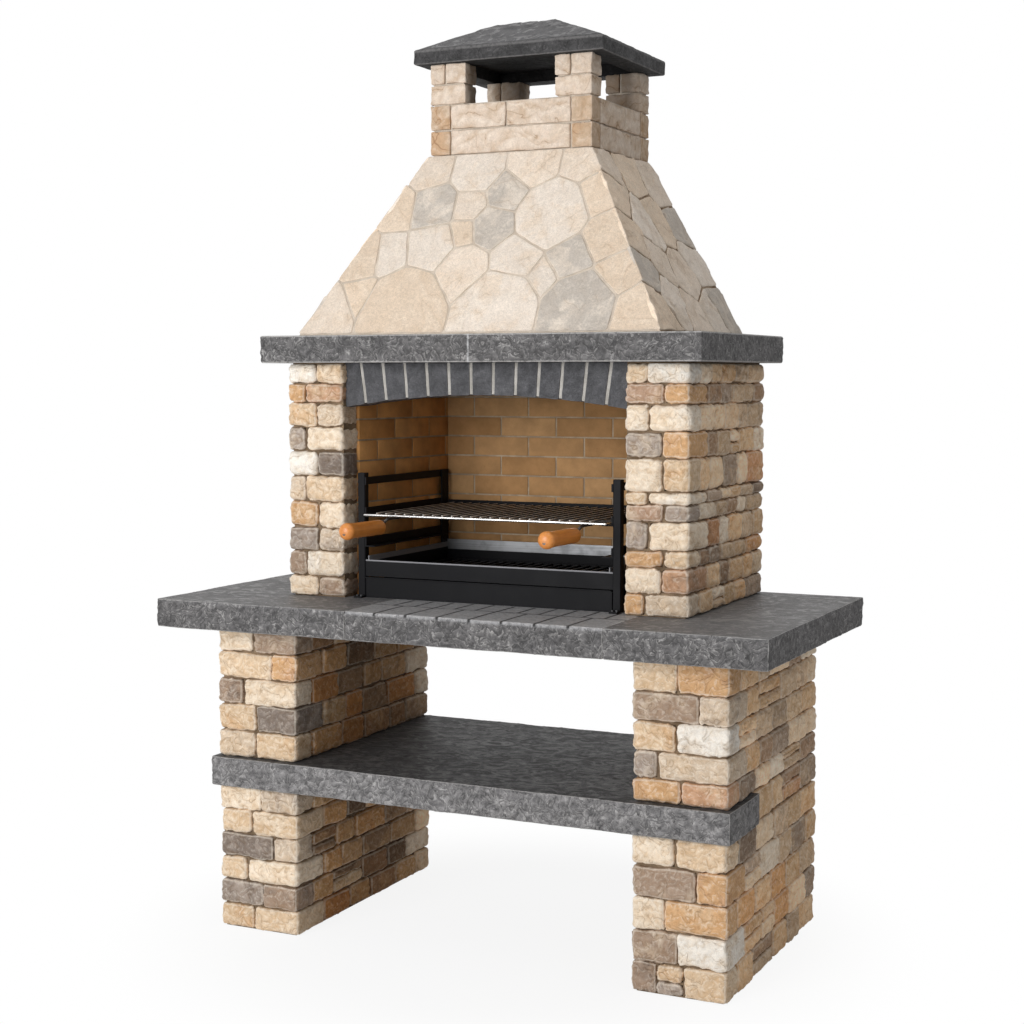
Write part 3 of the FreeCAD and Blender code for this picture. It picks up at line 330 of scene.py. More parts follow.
@dataclass(frozen=True)
class BlockGrid:
    """Surface grid of a block with rounded arrises.

    Attributes:
        cells: Number of cells along X, Y and Z.
        turns: Cells that each rounding takes at both ends of an axis.
    """

    cells: tuple[int, int, int]
    turns: int = 2

    def layout(self) -> tuple[Array, Array]:
        """Grid points on the skin of the block, and the quads between them, facing outwards.

        Returns:
            Whole-number places, three to a point, and point numbers, four to a quad.
        """
        shape = tuple(count + 1 for count in self.cells)
        number = np.arange(np.prod(shape)).reshape(shape)
        sides = []
        for axis in range(3):
            for end in (0, -1):
                face = np.take(number, end, axis=axis)
                ring = (face[:-1, :-1], face[1:, :-1], face[1:, 1:], face[:-1, 1:])
                quads = np.stack(ring, axis=-1).reshape(-1, 4)
                outwards = (end == -1) != (axis == 1)
                sides.append(quads if outwards else quads[:, ::-1])
        used, quads = np.unique(np.concatenate(sides), return_inverse=True)
        return np.stack(np.unravel_index(used, shape), axis=-1), quads.reshape(-1, 4)

    def spaced(self, length: Array, radius: Array, axis: int) -> Array:
        """Places along one axis: equal turns over both roundings, even steps between them.

        Args:
            length: Length of each block along the axis.
            radius: Rounding of each block.
            axis: Number of the axis.

        Returns:
            Places from 0 to the length, a row to each block.
        """
        turn = radius[:, None] * (1 - np.tan(np.linspace(math.pi / 4, 0, self.turns + 1)))
        steps = np.linspace(0, 1, self.cells[axis] - 2 * self.turns + 1)
        middle = radius[:, None] + (length - 2 * radius)[:, None] * steps
        end = length[:, None] - turn[:, ::-1]
        return np.concatenate([turn[:, :-1], middle, end[:, 1:]], axis=1)

    def surface(self, corners: Array, radius: Array, marks: dict[int, Array] | None = None) -> Surface:
        """Rounded blocks in the given corners.

        A point of the grid is drawn to the block less its rounding, and then pushed out again by the
        rounding along the way it came. The block is then spread between its eight corners, in
        proportion along its three axes.

        Args:
            corners: Corners of each block, as box_corners gives them.
            radius: Rounding of each block.
            marks: Places along an axis that replace the even steps, for a single block.

        Returns:
            The blocks' surface.
        """
        edges = [np.diff(corners, axis=1 + axis).mean(axis=(1, 2, 3)) for axis in range(3)]
        frames = np.stack(edges, axis=-1)
        size = np.linalg.norm(frames, axis=1)
        places, quads = self.layout()
        local = []
        for axis in range(3):
            if marks and axis in marks:
                along = marks[axis][None]
            else:
                along = self.spaced(size[:, axis], radius, axis)
            local.append(along[:, places[:, axis]])
        local = np.stack(local, axis=-1)
        inset = radius[:, None, None]
        inner = np.clip(local, inset, size[:, None] - inset)
        direction = unit(local - inner)
        local = inner + direction * inset
        edge = (1 - np.abs(direction).max(axis=-1)) / (1 - math.sqrt(0.5))
        share = local / size[:, None]
        points = np.zeros_like(local)
        for place in np.ndindex(2, 2, 2):
            weight = np.prod(np.where(place, share, 1 - share), axis=-1, keepdims=True)
            points += weight * corners[(slice(None), *place)][:, None]
        turned = np.linalg.inv(frames / size[:, None])
        normals = unit(np.einsum("bvi,bij->bvj", direction, turned))
        return Surface(points, normals, np.clip(edge, 0, 1), share, quads)


def skin_faces(stations: int, sides: int, copies: int = 1) -> Faces:
    """Faces of closed profiles carried along a path, with both ends closed.

    Args:
        stations: Number of profiles along the path.
        sides: Number of points in a profile.
        copies: Number of equal skins, numbered through.

    Returns:
        Point numbers of each face.
    """
    number = np.arange(stations * sides).reshape(stations, sides)
    ahead = np.roll(number, -1, axis=1)
    quads = np.stack([number[:-1], ahead[:-1], ahead[1:], number[1:]], axis=-1).reshape(-1, 4)
    ends = [number[0, ::-1], number[-1]]
    faces: Faces = []
    for copy in range(copies):
        step = copy * stations * sides
        faces += (quads + step).tolist() + [(end + step).tolist() for end in ends]
    return faces


def tubes(paths: Array, radius: Array, across: Sequence[float], sides: int) -> tuple[Array, Faces]:
    """Round profiles carried along paths.

    At each station a circle stands square to the path: its first axis is the given direction across
    the path, its second is square to that and to the path.

    Args:
        paths: Places along each path, indexed by path and station.
        radius: Radius at each station.
        across: Direction that is square to every path.
        sides: Number of points round a profile.

    Returns:
        Points of all tubes, and their faces.
    """
    along = unit(np.gradient(paths, axis=1))
    first = np.broadcast_to(np.asarray(across, float), along.shape)
    second = np.cross(along, first)
    angle = np.linspace(0, 2 * math.pi, sides, endpoint=False)
    ring = np.cos(angle)[:, None] * first[:, :, None] + np.sin(angle)[:, None] * second[:, :, None]
    points = paths[:, :, None] + radius[..., None, None] * ring
    return points.reshape(-1, 3), skin_faces(paths.shape[1], sides, len(paths))


def faced_outwards(points: Array, faces: Faces) -> Faces:
    """Faces turned so that the volume that they close is positive.

    Args:
        points: Places of all points.
        faces: Point numbers of each face.

    Returns:
        The faces, all turned round if they faced inwards.
    """
    fans = np.array([(face[0], face[1], face[2]) for face in faces] + [
        (face[0], face[2], face[3]) for face in faces if len(face) > 3
    ])
    first, second, third = (points[fans[:, corner]] for corner in range(3))
    volume = np.einsum("ij,ij->", first - points.mean(axis=0), np.cross(second - first, third - first))
    return faces if volume > 0 else [face[::-1] for face in faces]


def make_piece(name: str, points: Array, faces: Faces, attributes: dict[str, Array] | None = None,
               crease: float = 180.0) -> Piece:
    """A mesh object at the origin.

    Args:
        name: Name of the piece.
        points: Places of its points.
        faces: Point numbers of its faces.
        attributes: Values to a point: one column for numbers, three for vectors, four for colours.
        crease: Angle in degrees from which an edge stays sharp.

    Returns:
        The object.
    """
    mesh = bpy.data.meshes.new(name)
    mesh.from_pydata(points.tolist(), [], faces)
    kinds = {1: ("FLOAT", "value"), 3: ("FLOAT_VECTOR", "vector"), 4: ("FLOAT_COLOR", "color")}
    for label, values in (attributes or {}).items():
        columns = values.reshape(len(points), -1)
        kind, key = kinds[columns.shape[1]]
        layer = mesh.attributes.new(label, kind, "POINT")
        layer.data.foreach_set(key, columns.astype(np.float32).ravel())
    mesh.polygons.foreach_set("use_smooth", np.ones(len(mesh.polygons), bool))
    if crease < 180:
        mesh.set_sharp_from_angle(angle=math.radians(crease))
    mesh.update()
    piece = bpy.data.objects.new(name, mesh)
    bpy.context.scene.collection.objects.link(piece)
    return piece


def fit_piece(piece: Piece, material: Material, body: str, slot: str, *nodes: str) -> None:
    """Dresses a piece, puts it on its body and lets it stand for CAD nodes.

    Args:
        piece: The new piece.
        material: Its finish.
        body: CAD body that carries it.
        slot: Material slot of the record; not used.
        nodes: CAD nodes that it replaces.
    """
    piece.data.materials.append(material)
    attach(piece, body)
    if nodes:
        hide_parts(*nodes)
    LOG.info("%s: %d faces", piece.name, len(piece.data.polygons))


def dress_nodes(material: Material, *nodes: str) -> None:
    """Gives CAD nodes that stay in view a finish.

    Args:
        material: The finish.
        nodes: Names of the nodes.
    """
    for node in nodes:
        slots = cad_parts[node].data.materials
        if len(slots):
            slots[0] = material
        else:
            slots.append(material)
        LOG.info("%s dressed", node)


class Tree:
    """Short hand for a node tree."""

    def __init__(self, tree: bpy.types.NodeTree) -> None:
        """Takes up the given tree."""
        self.nodes, self.links = tree.nodes, tree.links

    def feed(self, target: Socket, value: object) -> None:
        """Links a socket to another, or sets it to a plain value.

        Args:
            target: Socket that is fed.
            value: Another node's socket, or the plain value.
        """
        if isinstance(value, bpy.types.NodeSocket):
            self.links.new(value, target)
        else:
            target.default_value = value

    def put(self, kind: str, inputs: dict, output: str | int = 0, **settings: object) -> Socket:
        """Adds one node.

        Args:
            kind: Type of the node.
            inputs: Values or sockets by the name or number of the input.
            output: Name or number of the output to hand back.
            settings: Properties of the node.

        Returns:
            The output socket.
        """
        node = self.nodes.new(kind)
        for key, value in settings.items():
            setattr(node, key, value)
        for key, value in inputs.items():
            self.feed(node.inputs[key], value)
        return node.outputs[output]

    def place(self) -> Socket:
        """The place on the object, in metres."""
        return self.put("ShaderNodeTexCoord", {}, "Object")

    def fade(self, value: Socket, low: float, high: float, start: float = 0.0, end: float = 1.0) -> Socket:
        """Eases a value that runs from low to high, from the level start to the level end."""
        inputs = {"Value": value, "From Min": low, "From Max": high, "To Min": start, "To Max": end}
        return self.put("ShaderNodeMapRange", inputs, interpolation_type="SMOOTHSTEP")

    def times(self, first: object, second: object) -> Socket:
        """Product of two values."""
        return self.put("ShaderNodeMath", {0: first, 1: second}, operation="MULTIPLY")

    def seen_rays(self) -> Socket:
        """Tells the rays of the eye, of reflections and through glass from those of plain light.

        Returns:
            One for a seen ray, nought for another.
        """
        seen = self.put("ShaderNodeLightPath", {}, "Is Camera Ray")
        path = seen.node
        for output in ("Is Glossy Ray", "Is Transmission Ray"):
            seen = self.put("ShaderNodeMath", {0: seen, 1: path.outputs[output]}, operation="MAXIMUM")
        return seen


class Shader(Tree):
    """Short hand for the node tree of one finish."""

    def __init__(self, name: str) -> None:
        """Starts an empty finish.

        Args:
            name: Name of the material.
        """
        self.material = bpy.data.materials.new(name)
        self.material.use_nodes = True
        super().__init__(self.material.node_tree)
        self.surface = self.nodes["Principled BSDF"]

    def attribute(self, name: str, output: str = "Fac") -> Socket:
        """A value that the piece's points carry."""
        return self.put("ShaderNodeAttribute", {}, output, attribute_name=name)

    def noise(self, where: Socket, scale: float, detail: float = 4.0, rough: float = 0.55,
              twist: float = 0.0) -> Socket:
        """Smooth noise from 0 to 1: cells to a metre, finer noises on top, their strength and a twist."""
        inputs = {"Vector": where, "Scale": scale, "Detail": detail, "Roughness": rough, "Distortion": twist}
        return self.put("ShaderNodeTexNoise", inputs)

    def ledges(self, where: Socket, scale: float, count: float, rise: float, detail: float,
               fall: float) -> Socket:
        """Broken ledges: a noise that leans upwards, cut into steps that rise slowly and fall fast.

        Args:
            where: Place or pattern coordinate.
            scale: Cells of the noise to a metre.
            count: Steps over the whole range of the noise.
            rise: Steps to a metre of height.
            detail: Number of finer noises on top.
            fall: Share of a step over which it falls back.

        Returns:
            The height of a step, from 0 at its foot to 1 at its lip.
        """
        height = self.put("ShaderNodeSeparateXYZ", {0: where}, "Z")
        strayed = self.times(self.noise(where, scale, detail, 0.5, 0.8), count)
        level = self.sum(strayed, self.times(height, rise))
        share = self.put("ShaderNodeMath", {0: level}, operation="FRACT")
        rising = self.times(share, 1 / (1 - fall))
        falling = self.times(self.sum(self.times(share, -1.0), 1.0), 1 / fall)
        return self.put("ShaderNodeMath", {0: rising, 1: falling}, operation="MINIMUM")

    def sum(self, *values: object) -> Socket:
        """Sum of values.

        Args:
            values: Two or more values or sockets.

        Returns:
            The sum.
        """
        total = values[0]
        for value in values[1:]:
            total = self.put("ShaderNodeMath", {0: total, 1: value}, operation="ADD")
        return total

    def ridge(self, value: Socket, middle: float = 0.5) -> Socket:
        """Distance of a value from a middle level."""
        shifted = self.put("ShaderNodeMath", {0: value, 1: middle}, operation="SUBTRACT")
        return self.put("ShaderNodeMath", {0: shifted}, operation="ABSOLUTE")

    def blend(self, share: object, first: object, second: object) -> Socket:
        """Mixes two colours by the share of the second."""
        return self.put("ShaderNodeMix", {0: share, 6: first, 7: second}, 2, data_type="RGBA")

    def weighted(self, vector: object, weights: Sequence[float]) -> Socket:
        """A colour or a place with each of its three numbers multiplied by its own weight."""
        return self.put("ShaderNodeVectorMath", {0: vector, 1: weights}, operation="MULTIPLY")

    def scaled(self, colour: object, value: Socket) -> Socket:
        """A colour made lighter or darker by a factor."""
        return self.put("ShaderNodeVectorMath", {0: colour, "Scale": value}, operation="SCALE")

    def bump(self, height: Socket, depth: float, strength: float = 1.0) -> None:
        """Roughens the shading by a height from 0 to 1, of the given depth in metres."""
        inputs = {"Height": height, "Distance": depth, "Strength": strength}
        self.feed(self.surface.inputs["Normal"], self.put("ShaderNodeBump", inputs))

    def finish(self, colour: object, rough: object, **plain: float) -> Material:
        """Feeds the shader and hands the finish over.

        Args:
            colour: Base colour.
            rough: Roughness.
            plain: Other sockets' values, with underscores for the spaces in their names.

        Returns:
            The material.
        """
        self.feed(self.surface.inputs["Base Color"], colour)
        self.feed(self.surface.inputs["Roughness"], rough)
        for key, value in plain.items():
            self.surface.inputs[key.replace("_", " ")].default_value = value
        return self.material


@dataclass(frozen=True)
class FieldStone:
    """Rock-faced stone: own tone and accent, ledges with a painted highlight on the lips and painted shade at
    the feet.

    Scales are counts to a metre, ledge_count is the ledges over the range of their noise and ledge_rise the
    ledges to a metre of height. pale is the colour of the painted highlight on the lips and of worn arrises;
    shadow tints the painted shade at the ledges' feet and in the hollows, joint_darkening the painted shade
    in the joints, and crack the cracks. crest is the lightness of the painted highlight on the crests and
    depth the shaded roughness in metres; the other numbers are strengths.
    """

    name: str
    patch_scale: float = 13.0
    patch_share: float = 0.62
    ledge_scale: float = 36.0
    ledge_count: float = 4.0
    ledge_rise: float = 30.0
    lip: float = 0.36
    foot: float = 0.40
    stain: float = 0.26
    mottle_scale: float = 90.0
    mottle_depth: float = 0.09
    grit_scale: float = 480.0
    grit_depth: float = 0.08
    pale: Colour = (247, 238, 224)
    soot: Colour = (96, 76, 58)
    shadow: Triple = (0.80, 0.71, 0.60)
    joint_darkening: Triple = (0.40, 0.32, 0.25)
    crack: Triple = (0.46, 0.34, 0.24)
    hollow: float = 0.40
    crest: float = 1.06
    worn: float = 0.42
    depth: float = 0.0034

    def material(self) -> Material:
        """Builds the finish.

        Returns:
            The material.
        """
        shader = Shader(self.name)
        grain = shader.attribute("grain", "Vector")
        tone = shader.attribute("tone", "Color")
        accent = shader.attribute("accent", "Color")
        patch = shader.noise(grain, self.patch_scale, 4.0, 0.6, 0.6)
        colour = shader.blend(shader.fade(patch, 0.46, 0.66, 0.0, self.patch_share), tone, accent)
        mottle = shader.noise(grain, self.mottle_scale, 5.0, 0.66, 0.6)
        shade = shader.fade(mottle, 0.30, 0.72, 1 - self.mottle_depth, 1 + self.mottle_depth)
        colour = shader.scaled(colour, shade)
        ledge = shader.ledges(grain, self.ledge_scale, self.ledge_count, self.ledge_rise, 3.0, 0.30)
        relief = shader.attribute("relief")
        # Painted shade: warmer and darker at the ledges' feet and in the hollows of the relief.
        sunk = shader.sum(
            shader.fade(ledge, 0.0, 0.55, self.foot, 0.0), shader.fade(relief, -1.0, 0.3, self.hollow, 0.0),
        )
        colour = shader.blend(sunk, colour, shader.weighted(colour, self.shadow))
        # Painted highlight: pale along the ledges' lips.
        lip = shader.fade(ledge, 0.55, 0.95, 0.0, self.lip)
        lip = shader.times(lip, shader.fade(mottle, 0.40, 0.58, 0.05, 1.0))
        lip = shader.times(lip, shader.fade(shader.attribute("tone"), 0.15, 0.60, 0.40, 1.0))
        colour = shader.blend(lip, colour, linear(self.pale))
        crack = shader.times(shader.fade(ledge, 0.0, 0.10, 1.0, 0.0), shader.fade(patch, 0.42, 0.58))
        colour = shader.blend(shader.times(crack, self.stain), colour, shader.weighted(colour, self.crack))
        grit = shader.noise(grain, self.grit_scale, 2.0, 0.6)
        grains = shader.fade(grit, 0.25, 0.75, 1 - self.grit_depth, 1 + self.grit_depth)
        colour = shader.scaled(colour, grains)
        # Painted highlight: the crests of the relief made lighter.
        colour = shader.scaled(colour, shader.fade(relief, 0.0, 1.0, 1.0, self.crest))
        edge = shader.attribute("edge")
        worn = shader.times(shader.fade(edge, 0.25, 0.9), shader.fade(mottle, 0.38, 0.60, 0.3, self.worn))
        colour = shader.blend(worn, colour, linear(self.pale))
        # Painted shade in the joints.
        colour = shader.blend(shader.attribute("joint_darkening"), colour, shader.weighted(colour, self.joint_darkening))
        # Soot, which on the stack's inner faces is also painted shade.
        colour = shader.blend(shader.attribute("soot"), colour, linear(self.soot))
        height = shader.sum(
            shader.times(mottle, 0.40), shader.times(grit, 0.06), shader.times(ledge, 0.32),
            shader.times(crack, -0.20),
        )
        shader.bump(height, self.depth)
        return shader.finish(colour, shader.fade(mottle, 0.3, 0.7, 0.95, 0.82), Specular_IOR_Level=0.2)


@dataclass(frozen=True)
class CastStone:
    """Dark cast stone: ledges with painted lip highlights and foot shade, streaks and painted glints on level
    faces.

    Scales and streak are counts to a metre, ledge_count is the ledges over the range of their noise and
    ledge_rise the ledges to a metre of height. scored is the colour of worn pavers, top_shade the lightness
    of the level faces as painted shade, lip and foot the strengths of the ledges' painted highlight and
    shade, glint that of the painted glints and depth the shaded roughness in metres; the other numbers are
    strengths.
    """

    name: str
    dark: Colour = (74, 73, 74)
    mid: Colour = (118, 116, 116)
    pale: Colour = (182, 180, 178)
    soot: Colour = (16, 15, 15)
    scored: Colour = (210, 210, 212)
    cloud_scale: float = 20.0
    ledge_scale: float = 31.0
    ledge_count: float = 6.0
    ledge_rise: float = 26.0
    lip: float = 0.54
    foot: float = 0.34
    top_shade: float = 0.80
    streak: Triple = (19.0, 25.0, 25.0)
    glint: float = 0.30
    depth: float = 0.0030
    specular: float = 0.45

    def material(self) -> Material:
        """Builds the finish.

        Returns:
            The material.
        """
        shader = Shader(self.name)
        place = shader.place()
        level = shader.attribute("level")
        upright = shader.fade(level, 0.55, 0.92, 1.0, 0.0)
        cloud = shader.noise(place, self.cloud_scale, 6.0, 0.64, 0.5)
        mottle = shader.noise(place, 110.0, 5.0, 0.68, 0.6)
        mixed = shader.sum(shader.times(cloud, 0.40), shader.times(mottle, 0.60))
        colour = shader.blend(shader.fade(mixed, 0.28, 0.72), linear(self.dark), linear(self.mid))
        ledge = shader.ledges(place, self.ledge_scale, self.ledge_count, self.ledge_rise, 3.0, 0.08)
        # Painted shade at the ledges' feet on upright faces, a slight painted highlight at their lips, and
        # painted shade on the level faces.
        foot = shader.fade(ledge, 0.0, 0.5, 1 - self.foot, 1.06)
        flat = shader.fade(level, 0.55, 0.92)
        shade = shader.sum(shader.times(foot, upright), shader.times(flat, self.top_shade))
        colour = shader.scaled(colour, shade)
        where = shader.fade(cloud, 0.36, 0.60, 0.35, 1.0)
        where = shader.times(where, shader.fade(mottle, 0.38, 0.54, 0.1, 1.0))
        # Painted highlight: pale lines along the ledges' lips, fainter on the level faces.
        line = shader.times(shader.fade(ledge, 0.64, 0.95, 0.0, self.lip), where)
        line = shader.times(line, shader.sum(shader.times(upright, 0.88), 0.12))
        colour = shader.blend(line, colour, linear(self.pale))
        drawn = shader.weighted(place, self.streak)
        flow = shader.noise(drawn, 1.0, 7.0, 0.66, 1.6)
        flaked = shader.times(shader.fade(shader.ridge(flow), 0.0, 0.03, 0.70, 0.0), flat)
        colour = shader.blend(flaked, colour, linear(self.dark))
        # Painted glints: pale patches and fine pale lines on the level faces.
        painted_glints = shader.sum(
            shader.fade(flow, 0.50, 0.66, 0.0, self.glint),
            shader.fade(shader.ridge(flow, 0.56), 0.0, 0.014, self.glint, 0.0),
        )
        colour = shader.blend(shader.times(painted_glints, flat), colour, linear(self.pale))
        grit = shader.noise(place, 560.0, 2.0, 0.6)
        colour = shader.scaled(colour, shader.fade(grit, 0.25, 0.78, 0.80, 1.22))
        relief = shader.attribute("relief")
        # Painted shade in the hollows of the relief and painted highlight on its crests.
        colour = shader.scaled(colour, shader.fade(relief, -1.0, 1.0, 0.70, 1.22))
        edge = shader.attribute("edge")
        uneven = shader.fade(mottle, 0.32, 0.56, 0.40, 0.95)
        scuff = shader.times(shader.fade(edge, 0.25, 0.9), uneven)
        colour = shader.blend(scuff, colour, linear(self.pale))
        score = shader.times(shader.attribute("score"), uneven)
        colour = shader.blend(score, colour, linear(self.scored))
        # Soot and painted shade on the cap's underside, a darkening along its edge, and the dark bottoms of
        # the pavers' scores.
        colour = shader.blend(shader.attribute("soot"), colour, linear(self.soot))
        height = shader.sum(
            shader.times(mottle, 0.35), shader.times(shader.times(ledge, upright), 0.42),
            shader.times(grit, 0.06), shader.times(flow, 0.30),
        )
        shader.bump(height, self.depth)
        gloss = shader.sum(shader.fade(flow, 0.3, 0.7, 0.66, 0.44), shader.times(upright, 0.30))
        return shader.finish(colour, gloss, Specular_IOR_Level=self.specular)


@dataclass(frozen=True)
class Mortar:
    """Sandy mortar in pale and dark clouds, with grains and shallow pits; depth is in metres."""

    name: str
    pale: Colour
    dark: Colour
    depth: float = 0.002

    def material(self) -> Material:
        """Builds the finish.

        Returns:
            The material.
        """
        shader = Shader(self.name)
        place = shader.place()
        cloud = shader.noise(place, 26.0, 5.0, 0.6)
        colour = shader.blend(shader.fade(cloud, 0.35, 0.68), linear(self.dark), linear(self.pale))
        grit = shader.noise(place, 620.0, 3.0, 0.65)
        colour = shader.scaled(colour, shader.fade(grit, 0.3, 0.72, 0.82, 1.12))
        shader.bump(shader.sum(shader.times(cloud, 0.5), shader.times(grit, 0.5)), self.depth)
        return shader.finish(colour, 0.93, Specular_IOR_Level=0.2)


@dataclass(frozen=True)
class FireBrick:
    """Fired clay: a tone to each brick, fine speckle and a little soot; depth is in metres."""

    name: str
    soot: Colour = (86, 60, 36)
    depth: float = 0.0012

    def material(self) -> Material:
        """Builds the finish.

        Returns:
            The material.
        """
        shader = Shader(self.name)
        grain = shader.attribute("grain", "Vector")
        tone = shader.attribute("tone", "Color")
        cloud = shader.noise(grain, 16.0, 5.0, 0.6)
        colour = shader.scaled(tone, shader.fade(cloud, 0.3, 0.7, 0.84, 1.12))
        speck = shader.noise(grain, 380.0, 3.0, 0.7)
        colour = shader.blend(shader.fade(speck, 0.60, 0.74, 0.0, 0.45), colour, linear(self.soot))
        stain = shader.noise(shader.place(), 5.0, 4.0, 0.6)
        colour = shader.blend(shader.fade(stain, 0.52, 0.78, 0.0, 0.35), colour, linear(self.soot))
        shader.bump(shader.sum(shader.times(cloud, 0.4), shader.times(speck, 0.6)), self.depth)
        return shader.finish(colour, 0.9, Specular_IOR_Level=0.2)


@dataclass(frozen=True)
class PaintedSteel:
    """Satin black paint on sheet, dusty in patches, with a faint orange peel; paler along a lip.

    rough holds the roughness of clean and of dusty paint, lip the level of the lip's top, none for a sheet
    without one, and lip_height the height of the pale strip under it: rubbed paint and a painted highlight.
    """

    name: str
    paint: Colour = (14, 14, 17)
    dust: Colour = (34, 34, 36)
    rubbed_highlight: Colour = (150, 150, 154)
    rough: tuple[float, float] = (0.42, 0.56)
    lip: float | None = None
    lip_height: float = 4.5 * MM

    def material(self) -> Material:
        """Builds the finish.

        Returns:
            The material.
        """
        shader = Shader(self.name)
        place = shader.place()
        cloud = shader.noise(place, 9.0, 6.0, 0.6)
        dusty = shader.fade(cloud, 0.48, 0.78, 0.0, 0.30)
        colour = shader.blend(dusty, linear(self.paint), linear(self.dust))
        # Rubbed paint and painted highlight: a pale strip just under the lip's top, where the lit edge would
        # shine.
        if self.lip is not None:
            height = shader.put("ShaderNodeSeparateXYZ", {0: place}, "Z")
            foot = self.lip - self.lip_height
            rubbed_highlight_share = shader.fade(height, foot, foot + self.lip_height / 2, 0.0, 0.9)
            colour = shader.blend(rubbed_highlight_share, colour, linear(self.rubbed_highlight))
        peel = shader.noise(place, 700.0, 1.0, 0.5)
        shader.bump(peel, 0.0002, 0.5)
        return shader.finish(colour, shader.fade(cloud, 0.35, 0.7, *self.rough), Specular_IOR_Level=0.11)


@dataclass(frozen=True)
class BareSteel:
    """Bare or plated steel, brushed along one axis, tarnished in patches and browned by heat.

    rough holds the roughness of clean and of tarnished metal, stretch the brush marks to a metre along X, Y
    and Z, and metal how metallic it is where it is not browned.
    """

    name: str
    bright: Colour
    tarnish: Colour
    rough: tuple[float, float]
    stretch: Triple = (4.0, 320.0, 320.0)
    browned: Colour = (58, 47, 38)
    metal: float = 1.0

    def material(self) -> Material:
        """Builds the finish.

        Returns:
            The material.
        """
        shader = Shader(self.name)
        place = shader.place()
        brushed = shader.weighted(place, self.stretch)
        brush = shader.noise(brushed, 1.0, 3.0, 0.6)
        cloud = shader.noise(place, 28.0, 4.0, 0.6)
        colour = shader.blend(shader.fade(cloud, 0.45, 0.72), linear(self.bright), linear(self.tarnish))
        heat = shader.attribute("browning")
        colour = shader.blend(heat, colour, linear(self.browned))
        colour = shader.scaled(colour, shader.fade(brush, 0.3, 0.7, 0.86, 1.08))
        shader.bump(brush, 0.00015, 0.6)
        shader.feed(shader.surface.inputs["Metallic"], shader.fade(heat, 0.0, 1.0, self.metal, 0.0))
        rough = shader.sum(shader.fade(cloud, 0.35, 0.7, *self.rough), shader.times(heat, 0.45))
        return shader.finish(colour, rough, Specular_IOR_Level=0.2)


@dataclass(frozen=True)
class TurnedWood:
    """Varnished orange wood with long grain; stretch is its fibres to a metre along X, Y and Z."""

    name: str
    light: Colour = (222, 144, 68)
    dark: Colour = (198, 120, 50)
    stretch: Triple = (210.0, 9.0, 210.0)

    def material(self) -> Material:
        """Builds the finish.

        Returns:
            The material.
        """
        shader = Shader(self.name)
        place = shader.place()
        along = shader.weighted(place, self.stretch)
        fibre = shader.noise(along, 1.0, 4.0, 0.6, 0.4)
        cloud = shader.noise(place, 30.0, 3.0, 0.5)
        mixed = shader.sum(shader.times(fibre, 0.65), shader.times(cloud, 0.35))
        colour = shader.blend(shader.fade(mixed, 0.34, 0.66), linear(self.dark), linear(self.light))
        shader.bump(fibre, 0.0004, 0.5)
        return shader.finish(colour, shader.fade(fibre, 0.3, 0.7, 0.36, 0.5), Coat_Weight=0.15)


@dataclass(frozen=True)
class StoneCut:
    """How roughly a stone is worked; sizes in metres.

    rounding is the least and greatest rounding of the arrises, grow how far the stone fills the joint beside
    it, bulge the swell of a face and warp how far an outline strays over warp_length. hewn, ripple and ledge
    are depths, facet, wave and ledge_rise their sizes, and top_share is the relief left on level faces.
    """

    rounding: tuple[float, float]
    grow: float = 0.0
    bulge: float = 0.0
    warp: float = 0.0
    warp_length: float = 0.06
    hewn: float = 0.0
    facet: float = 0.03
    ripple: float = 0.0
    wave: float = 0.04
    ledge: float = 0.0
    ledge_rise: float = 0.034
    top_share: float = 1.0


@dataclass(frozen=True)
class Worked:
    """Worked blocks, ready for a mesh.

    Attributes:
        points: Places of all points.
        faces: Their faces.
        attributes: Edge, relief and grain of each point.
        per_block: Number of points of one block.
    """

    points: Array
    faces: Faces
    attributes: dict[str, Array]
    per_block: int

    def toned(self, tone: Array, accent: Array) -> dict[str, Array]:
        """Attributes with a tone and an accent for each block.

        Args:
            tone: Tone of each block.
            accent: Colour of the patches of each block.

        Returns:
            Values to a point by name.
        """
        colours = {"tone": tone, "accent": accent}
        spread = {key: np.repeat(rows, self.per_block, axis=0) for key, rows in colours.items()}
        return {**self.attributes, **spread}


